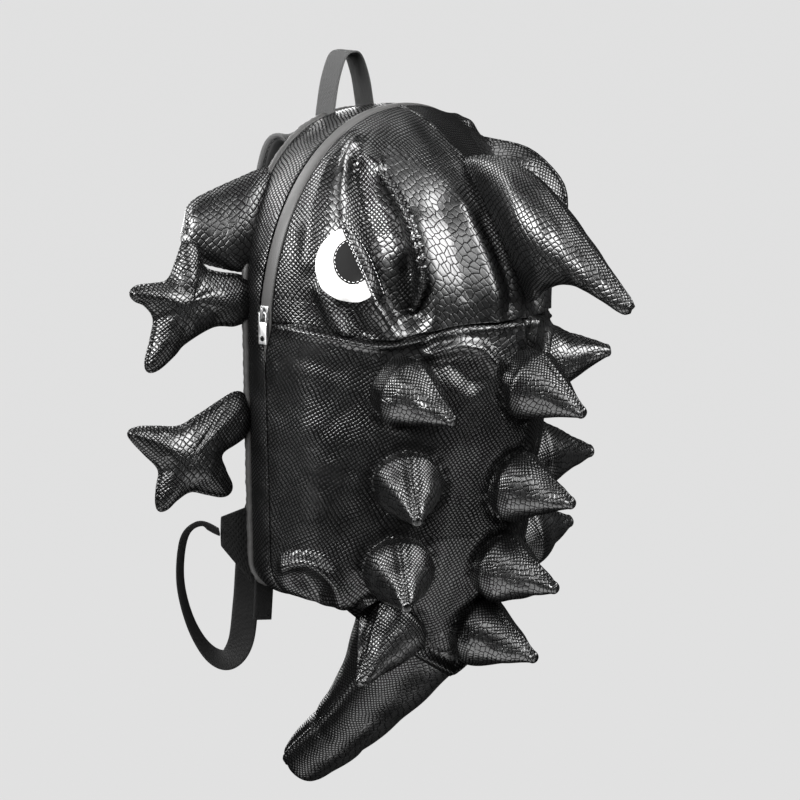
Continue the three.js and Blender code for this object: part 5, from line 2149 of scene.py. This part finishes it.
@dataclass(frozen=True)
class Stitching:
    """Dashes of thread along a line."""

    finish: Finish
    slot: str
    dash: float = 3.0
    gap: float = 1.9
    thick: float = 0.8

    def build(self, name: str, line: Array, normals: Array) -> Piece:
        """Sews along a line.

        Args:
            name: Name of the piece.
            line: The line, on the cloth.
            normals: Outward directions along it.

        Returns:
            The piece.
        """
        run = run_lengths(line)
        count = max(int(run[-1] / (self.dash + self.gap)), 1)
        places, faces = [], []
        shares = np.array([-0.5, -0.36, -0.15, 0.15, 0.36, 0.5])
        sizes = np.array([0.25, 0.8, 1.0, 1.0, 0.8, 0.25])
        angles = ring_angles(8)
        quads = grid_faces(len(shares), len(angles), True)[2][:, [0, 3, 2, 1]]
        for k in range(count):
            spot = (k + 0.5) * run[-1] / count
            sample = spot + shares * self.dash
            centre = np.stack([np.interp(sample, run, line[:, i]) for i in range(3)], -1)
            normal = unit(np.array([np.interp(spot, run, normals[:, i]) for i in range(3)]))
            along = unit(centre[-1] - centre[0])
            beside = np.cross(along, normal)
            ring = np.cos(angles)[None, :, None] * beside + np.sin(angles)[None, :, None] * normal
            tube = centre[:, None] + ring * (sizes * self.thick / 2)[:, None, None]
            tube = tube + normal * (self.thick * 0.25 * (sizes - 0.4))[:, None, None]
            faces.append(quads + k * len(shares) * len(angles))
            places.append(tube.reshape(-1, 3))
        made = solid(name, to_frame(np.vstack(places)).tolist(), np.vstack(faces).tolist())
        return Piece(made, self.finish, self.slot)


# Eyes


@dataclass
class Eye:
    """A sewn eye: white patch, black pupil and rolled lid, with white stitches."""

    side: Side
    turn: float = 61.0
    z: float = 320.0
    white: Pair = (31.0, 30.5)
    white_offset: Pair = (-4.5, -3.0)
    pupil: Pair = (17.5, 18.5)
    lid_angle: float = 63.0
    lid_start: float = 4.0
    lid_length: float = 36.0
    lid_width: float = 12.0
    lid_height: float = 4.5

    def build(self) -> list[Piece]:
        """Makes the eye.

        Returns:
            The pieces.
        """
        white = self.edge(self.white, self.white_offset)
        return [
            self.patch("white", white, 1.4, EYE_WHITE, "white"),
            self.patch("pupil", self.edge(self.pupil), 2.2, EYE_BLACK, "black"),
            self.lid(),
            *self.stitches(),
        ]

    def place(self, across: Array, up: Array, lift: Array | float) -> Array:
        """A place above the head near the eye."""
        turn = self.side.value * (self.turn - np.asarray(across) / TURN_MM)
        return head_place(turn, self.z + np.asarray(up), lift)

    def edge(self, radii: Pair, offset: Pair = (0.0, 0.0)) -> Array:
        """Edge of an oval that the lid cuts off.

        Args:
            radii: Radii across and up.
            offset: Its middle, across and up from the pupil's.

        Returns:
            Across and up from the pupil's middle.
        """
        angle = ring_angles(400)
        flat = np.array(offset) + np.stack([np.cos(angle), np.sin(angle)], -1) * np.array(radii)
        lid = math.radians(self.lid_angle)
        beyond = np.array([math.sin(lid), math.cos(lid)])
        over = np.maximum(flat @ beyond - self.lid_start, 0)
        return even_line(flat - over[:, None] * beyond, 140, closed=True)

    def patch(self, word: str, edge: Array, high: float, finish: Finish, slot: str) -> Piece:
        """Makes a patch of the eye.

        Args:
            word: Which patch.
            edge: Its edge, across and up from the pupil's middle.
            high: Height of its top over the head.
            finish: Its finish.
            slot: Its material slot.

        Returns:
            The piece.
        """
        middle = edge.mean(0)
        shares = [0.03, 0.2, 0.4, 0.6, 0.75, 0.87, 0.95, 0.985, 1.0]
        tops = [high - 0.5 * (share > 0.97) for share in shares]
        rings = [*zip(shares, tops), (1.005, high - 1.2), (0.97, high - 2.6)]
        flat = np.stack([middle + (edge - middle) * share for share, _ in rings])
        lifts = np.array([lift for _, lift in rings])[:, None]
        points = self.place(flat[..., 0], flat[..., 1], lifts)
        uv = np.concatenate([flat, flat[:, :1]], 1)
        inside = points.mean((0, 1)) - np.array([self.side.value * 30.0, 20.0, 0.0])
        patch = Patch(points, uv, closed=True, capped=True, inside=inside)
        return sewn(patch, f"eye_{word}_{self.side.word}", "patch", finish, slot)

    def lid_line(self, shares: Array, off: Array) -> tuple[Array, Array]:
        """Places along the lid.

        Args:
            shares: From -1 at the upper end to 1 at the lower end.
            off: Way over the lid's width, from 0 at the eye to 1.

        Returns:
            Across and up from the pupil's middle.
        """
        lid = math.radians(self.lid_angle)
        run = shares * self.lid_length
        width = self.lid_width * np.sqrt(np.maximum(1 - (np.minimum(shares, 0.0) / 1.02) ** 2, 0))
        bow = 4.0 * (1 - shares**2) - 1.0
        reach = self.lid_start - 0.8 + off * width + bow * off
        across = reach * math.sin(lid) + run * math.cos(lid)
        up = reach * math.cos(lid) - run * math.sin(lid)
        return across, up

    def lid_lift(self, shares: Array, off: Array) -> Array:
        """Height of the lid over the head, which fades at both ends."""
        fade = np.sqrt(np.maximum(1 - (shares / 1.01) ** 8, 0))
        return (0.4 + self.lid_height * np.sin(np.pi * off) ** 0.55) * fade

    def lid(self) -> Piece:
        """Makes the rolled lid.

        Returns:
            The piece.
        """
        shares, off = np.meshgrid(np.linspace(-1, 1, 80), np.linspace(0, 1, 30), indexing="ij")
        across, up = self.lid_line(shares, off)
        points = self.place(across, up, self.lid_lift(shares, off))
        inside = points.mean((0, 1)) - np.array([self.side.value * 30.0, 20.0, 0.0])
        patch = Patch(points, cloth_uv(points), inside=inside)
        patch.marks["plates"] = np.full(points.shape[:2], 0.45)
        made = walled(patch.build(f"eyelid_{self.side.word}_roll"), 1.2)
        return Piece(made, FINE_LEATHER, "leather", (f"eyelid_{self.side.word}",))

    def stitches(self) -> list[Piece]:
        """Sews the pupil's edge and the lid.

        Returns:
            The pieces.
        """
        sewing = Stitching(WHITE_THREAD, "white", dash=2.4, gap=1.5, thick=0.62)
        rim = self.edge((self.pupil[0] - 1.6, self.pupil[1] - 1.6))
        rim = np.vstack([rim, rim[:1]])
        runs = {"pupil": (rim[:, 0], rim[:, 1], 2.3 * np.ones(len(rim)))}
        shares = np.linspace(-0.97, 0.97, 120)
        for word, off in (("lid_inner", 0.16), ("lid_outer", 0.86)):
            across, up = self.lid_line(shares, np.full(120, off))
            runs[word] = (across, up, self.lid_lift(shares, off) + 0.1)
        pieces = []
        for word, (across, up, lift) in runs.items():
            line = self.place(across, up, lift)
            normals = unit(self.place(across, up, lift + 1.0) - line)
            pieces.append(sewing.build(f"stitches_{word}_{self.side.word}", line, normals))
        return pieces


# Carrying pieces


def headings(table: Array) -> Array:
    """Level directions."""
    angle = np.radians(table[:, 3])
    return np.stack([-np.cos(angle), np.sin(angle), np.zeros(len(table))], -1)


def ribbon(line: Array, wide: Array, width: float = 24.0, thick: float = 2.0) -> Patch:
    """A flat band along a smooth line.

    Args:
        line: Places along its middle.
        wide: Direction of its width at each place.
        width: Width of the band.
        thick: Thickness.

    Returns:
        The grid.
    """
    run = unit(np.gradient(line, axis=0))
    wide = unit(wide - run * np.sum(wide * run, -1, keepdims=True))
    flat = np.cross(run, wide)
    shares = np.concatenate([np.linspace(-1, 1, 17), np.linspace(1, -1, 17)])
    faces = np.concatenate([np.ones(17), -np.ones(17)])
    round_off = np.sqrt(np.maximum(1 - np.abs(shares) ** 14, 0)) * 0.9 + 0.1
    lift = faces * round_off * thick / 2
    points = line[:, None] + wide[:, None] * (shares * width / 2)[None, :, None]
    points = points + flat[:, None] * lift[None, :, None]
    return sleeve(points)


@dataclass
class Harness:
    """Shoulder strap, webbing, adjuster and anchor tab of one side."""

    side: Side
    strap_thick: float = 11.0
    strap_columns: int = 56
    sewn_columns: tuple[int, ...] = (8, 20, 36, 48)
    strap: Table = (
        (46, -6.9, 362, 40), (47, -6.9, 386, 44), (51, -13, 408, 48), (58, -25, 411, 53),
        (64, -30, 390, 57), (70, -32, 346, 58), (74, -32, 290, 58), (77, -31, 230, 56),
        (82, -29, 175, 50), (87, -28, 134, 36), (87, -28, 118, 30),
    )
    loop_square: Triple = (0.78, 0.62, 0.0)
    webbing: Table = (
        (175, -13, 62, 23), (182, -30, 68, 22), (180, -50, 52, 18), (168, -64, 10, 16),
        (156, -62, -30, 18), (145, -50, -58, 28), (134, -36, -66, 46), (124, -28, -50, 74),
        (120, -25, -12, 98), (115, -25, 34, 106), (103, -27, 70, 118), (89, -28, 90, 137),
        (88, -28, 102.4, 141),
    )
    webbing_end: Table = (
        (88, -24.6, 110, 180), (89, -24.4, 97, 180), (104, -14, 48, 186), (113, -8.8, 6, 188),
        (117, -8, -28, 188),
    )

    def build(self) -> list[Piece]:
        """Makes the carrying pieces.

        Returns:
            The pieces.
        """
        pieces = [*self.shoulder(), self.lock(), self.anchor()]
        for word, band in (("webbing", self.loop()), ("webbing_end", self.loose_end())):
            pieces.append(sewn(band, f"{word}_{self.side.word}", "woven", STRAP_WEBBING, "webbing"))
        return pieces

    def loop(self) -> Patch:
        """Lays out the webbing from its anchor to the adjuster, which turns over on its way.

        Returns:
            The grid.
        """
        table = smooth_rows(self.webbing, np.linspace(0, 1, 150))
        line = table[:, :3] * self.side.flip
        square = np.array(self.loop_square) * self.side.flip
        outward = self.side.value * np.cross(unit(np.gradient(line, axis=0)), square)
        angle = np.radians(table[:, 3:])
        wide = np.cos(angle) * square + np.sin(angle) * outward
        return ribbon(line, wide)

    def loose_end(self) -> Patch:
        """Lays out the free end under the adjuster."""
        table = smooth_rows(self.webbing_end, np.linspace(0, 1, 70))
        return ribbon(table[:, :3] * self.side.flip, headings(table) * self.side.flip)

    def shoulder(self) -> list[Piece]:
        """Makes a padded strap with four rows of stitches.

        Returns:
            The pieces.
        """
        count, columns = 130, self.strap_columns
        table = smooth_rows(self.strap, np.linspace(0, 1, count))
        line = table[:, :3] * self.side.flip
        run = unit(np.gradient(line, axis=0))
        across = unit(np.array([1.0, 0.0, 0.0]) - run * run[:, :1])
        flat = np.cross(run, across)
        angle = ring_angles(columns)[None, :]
        reach = signed_power(np.sin(angle), 2 / 3) * table[:, 3:4] / 2
        rise = signed_power(np.cos(angle), 2 / 2.4) * self.strap_thick / 2
        edge = bell(np.abs(np.sin(angle)) - 0.78, 0.05)
        rise = rise * (1 - 0.3 * edge)
        points = line[:, None] + across[:, None] * reach[..., None] + flat[:, None] * rise[..., None]
        patch = sleeve(points)
        # Painted shade along the pressed lines near the strap's edges.
        patch.marks["crease"] = np.broadcast_to(edge, rise.shape)
        pieces = [sewn(patch, f"shoulder_strap_{self.side.word}", "padded", PADDING, "padding", 0.6)]
        square, sign = patch.facing()
        sewing = Stitching(BLACK_THREAD, "black", dash=3.2, gap=1.6, thick=0.9)
        for row, column in enumerate(self.sewn_columns):
            normals = square[:, column] * sign
            line = patch.points[:, column] + normals * 0.2
            pieces.append(sewing.build(f"stitches_strap_{row}_{self.side.word}", line[4:-4], normals[4:-4]))
        return pieces

    def lock(self) -> Piece:
        """Makes an adjuster with two slots.

        Returns:
            The piece.
        """
        x, d, top, half, thick = self.side.value * 88.0, -28.0, 117.4, 17.0, 2.0
        bars = [(top - 2.6, top), (top - 8.4, top - 6.0), (top - 14.0, top - 11.8)]
        parts = [
            rounded_box(f"bar_{k}", (x - half, d - thick, low), (x + half, d + thick, high), 0.7)
            for k, (low, high) in enumerate(bars)
        ]
        parts += [
            rounded_box(f"end_{k}", (left, d - thick, top - 14), (left + 4, d + thick, top), 0.7)
            for k, left in enumerate((x - half, x + half - 4))
        ]
        made = joined(f"ladder_lock_{self.side.word}_moulded", parts)
        return Piece(made, PLASTIC, "plastic", (f"ladder_lock_{self.side.word}",))

    def anchor(self) -> Piece:
        """Makes the triangular tab sewn into the back seam.

        Returns:
            The piece.
        """
        shares = np.linspace(0, 1, 24)[:, None]
        low = np.array([140.0, 0.0, 10.0]) * (1 - shares) + np.array([172.0, -11.0, 48.0]) * shares
        high = np.array([140.0, 0.0, 84.0]) * (1 - shares) + np.array([172.0, -11.0, 76.0]) * shares
        low, high = low * self.side.flip, high * self.side.flip
        rise = np.concatenate([np.linspace(0, 1, 24), np.linspace(1, 0, 24)])[None, :, None]
        face = np.concatenate([np.ones(24), -np.ones(24)])[None, :, None]
        points = low[:, None] + (high - low)[:, None] * rise
        puff = 0.4 + 0.9 * np.sin(np.pi * rise) ** 0.3
        points = points + np.array([self.side.value * 0.32, -0.94, 0.0]) * (face * puff + 1.0)
        # The tab uses a darker copy of the padding cloth, as painted shade.
        return sewn(sleeve(points), f"strap_anchor_{self.side.word}", "sewn", SHADED_ANCHOR_CLOTH, "padding")


@dataclass
class GrabLoop:
    """The hanging loop of woven tape at the top."""

    rows: Table = (
        (-31, 0, 433, 90), (-29, 0, 443, 90), (-23, 0, 466, 90), (-12, 0, 486.8, 90), (0, 0, 490.8, 90),
        (12, 0, 486.8, 90), (23, 0, 466, 90), (29, 0, 443, 90), (31, 0, 433, 90),
    )

    def build(self) -> list[Piece]:
        """Makes the loop.

        Returns:
            The piece.
        """
        table = smooth_rows(self.rows, np.linspace(0, 1, 110))
        band = ribbon(table[:, :3], headings(table), 22.0, 2.4)
        return [sewn(band, "grab_loop", "woven", LOOP_WEBBING, "loop")]


# The studio


@dataclass
class Studio:
    """Floor, sky, lights and the photograph's view."""

    right: Triple = (0.6, -0.8, 0.0)
    ahead: Triple = (0.7904, 0.5928, -0.156)
    up: Triple = (0.1248, 0.0936, 0.988)
    distance: float = 8.333
    lens: float = 405.0
    centre_right: float = 0.0509
    centre_up: float = -0.3217
    floor_drop: float = 0.12
    floor_rings: tuple[float, ...] = (1.0, 2.0, 4.0, 8.0, 16.0, 32.0, 64.0)
    floor_sides: int = 64
    middle: Triple = (0.0, -0.1, -0.3)
    pale: float = 0.75
    glow_low: float = 0.012
    glow_high: float = 0.13

    def build(self) -> None:
        """Sets up the whole studio."""
        self.floor()
        self.sky()
        self.lights()
        self.camera()

    def floor(self) -> None:
        """Lays a wide pale floor."""
        low = CAD_LOW.z - self.floor_drop
        sides = self.floor_sides
        angles = ring_angles(sides)
        rim = np.stack([np.cos(angles), np.sin(angles)], -1)
        rings = np.vstack([[[0.0, 0.0]]] + [rim * reach for reach in self.floor_rings])
        fan = [(0, 1 + k, 1 + (k + 1) % sides) for k in range(sides)]
        quads = grid_faces(len(self.floor_rings), sides, True)[2][:, [0, 3, 2, 1]] + 1
        faces = fan + quads.tolist()
        made = solid("floor", [(x, y, low) for x, y in rings], faces, smooth=False)
        graph = Graph(bpy.data.materials.new("floor"))
        paper = graph.noise(graph.wire("ShaderNodeTexCoord", output="Object"), 40.0, 3.0)
        paint = graph.surface({
            "Base Color": graph.tint(paper, grey(0.0008), grey(0.0012)),
            "Roughness": 0.9,
            "Specular IOR Level": 0.0,
            "Emission Color": grey(self.pale),
            "Emission Strength": 1.0,
        })
        made.data.materials.append(paint)
        made.visible_glossy = False
        made.visible_diffuse = False
        made.visible_shadow = False

    def sky(self) -> None:
        """Gives the studio a dim glow from above, pale where the view sees past the floor."""
        world = bpy.data.worlds.new("studio")
        graph = Graph(world)
        place = graph.wire("ShaderNodeTexCoord", output="Generated")
        height = graph.wire("ShaderNodeSeparateXYZ", inputs={0: place}, output=2)
        glow = self.glow_low + height.step(-0.15, 0.75) * (self.glow_high - self.glow_low)
        seen = graph.wire("ShaderNodeLightPath", output="Is Camera Ray")
        strength = glow + (self.pale - glow) * seen
        colour = {"Color": grey(1.0), "Strength": strength}
        light = graph.wire("ShaderNodeBackground", inputs=colour)
        graph.node("ShaderNodeOutputWorld", {}, {"Surface": light})
        bpy.context.scene.world = world

    def lights(self) -> None:
        """Hangs the soft lights."""
        centre = Vector(self.middle)
        away, beside, up = Vector(self.ahead), Vector(self.right), Vector((0, 0, 1))
        softboxes = (
            ("key", -0.73 * away - 0.67 * beside + 0.3 * up, 1.7, (1.0, 0.5), 88.0),
            ("side", -0.32 * away + 0.82 * beside + 0.56 * up, 1.7, (1.2, 1.1), 104.0),
            ("top", 0.35 * away - 0.1 * beside + 1.0 * up, 1.3, (1.0, 1.0), 12.0),
            ("rear", 0.15 * away - 0.75 * beside + 0.7 * up, 1.5, (0.8, 0.7), 38.0),
            ("back", 1.0 * away - 0.35 * beside + 0.3 * up, 2.0, (1.2, 0.9), 32.0),
            ("front", -1.0 * away + 0.25 * beside + 0.5 * up, 2.2, (0.9, 0.9), 26.0),
            ("floor", -0.35 * away - 0.35 * beside - 0.85 * up, 1.6, (1.3, 1.3), 23.0),
            ("bounce", -0.25 * away + 0.55 * beside - 0.8 * up, 1.6, (1.2, 1.2), 16.0),
        )
        for name, direction, distance, size, power in softboxes:
            light = bpy.data.lights.new(name, "AREA")
            light.shape = "RECTANGLE"
            light.size, light.size_y = size
            light.energy = power
            made = bpy.data.objects.new(name, light)
            made.location = centre + direction.normalized() * distance
            made.rotation_euler = (centre - made.location).to_track_quat("-Z", "Y").to_euler()
            bpy.context.scene.collection.objects.link(made)

    def camera(self) -> None:
        """Places the view of the photograph."""
        lens = bpy.data.cameras.new("view")
        lens.lens = self.lens
        lens.sensor_width = 36.0
        lens.clip_end = 100.0
        made = bpy.data.objects.new("view", lens)
        right, up, ahead = Vector(self.right), Vector(self.up), Vector(self.ahead)
        place = right * self.centre_right + up * self.centre_up - ahead * self.distance
        turn = Matrix((right, up, -ahead)).transposed().to_4x4()
        made.matrix_world = Matrix.Translation(place) @ turn
        bpy.context.scene.collection.objects.link(made)
        bpy.context.scene.camera = made
        bpy.context.scene.view_settings.view_transform = "Standard"


def main() -> None:
    """Builds every sub-assembly, dresses its pieces and sets up the studio."""
    logging.basicConfig(level=logging.INFO, format="%(name)s %(message)s")
    assemblies = (
        FrontPanels(), SpikeSet(), Crest(), Brows(), Ears(), *map(Paws, Side), Tail(), Surround(),
        *map(Eye, Side), Zipper(), *map(Harness, Side), GrabLoop(),
    )
    for assembly in assemblies:
        for piece in assembly.build():
            piece.dress()
    Studio().build()


if __name__ == "__main__":
    main()
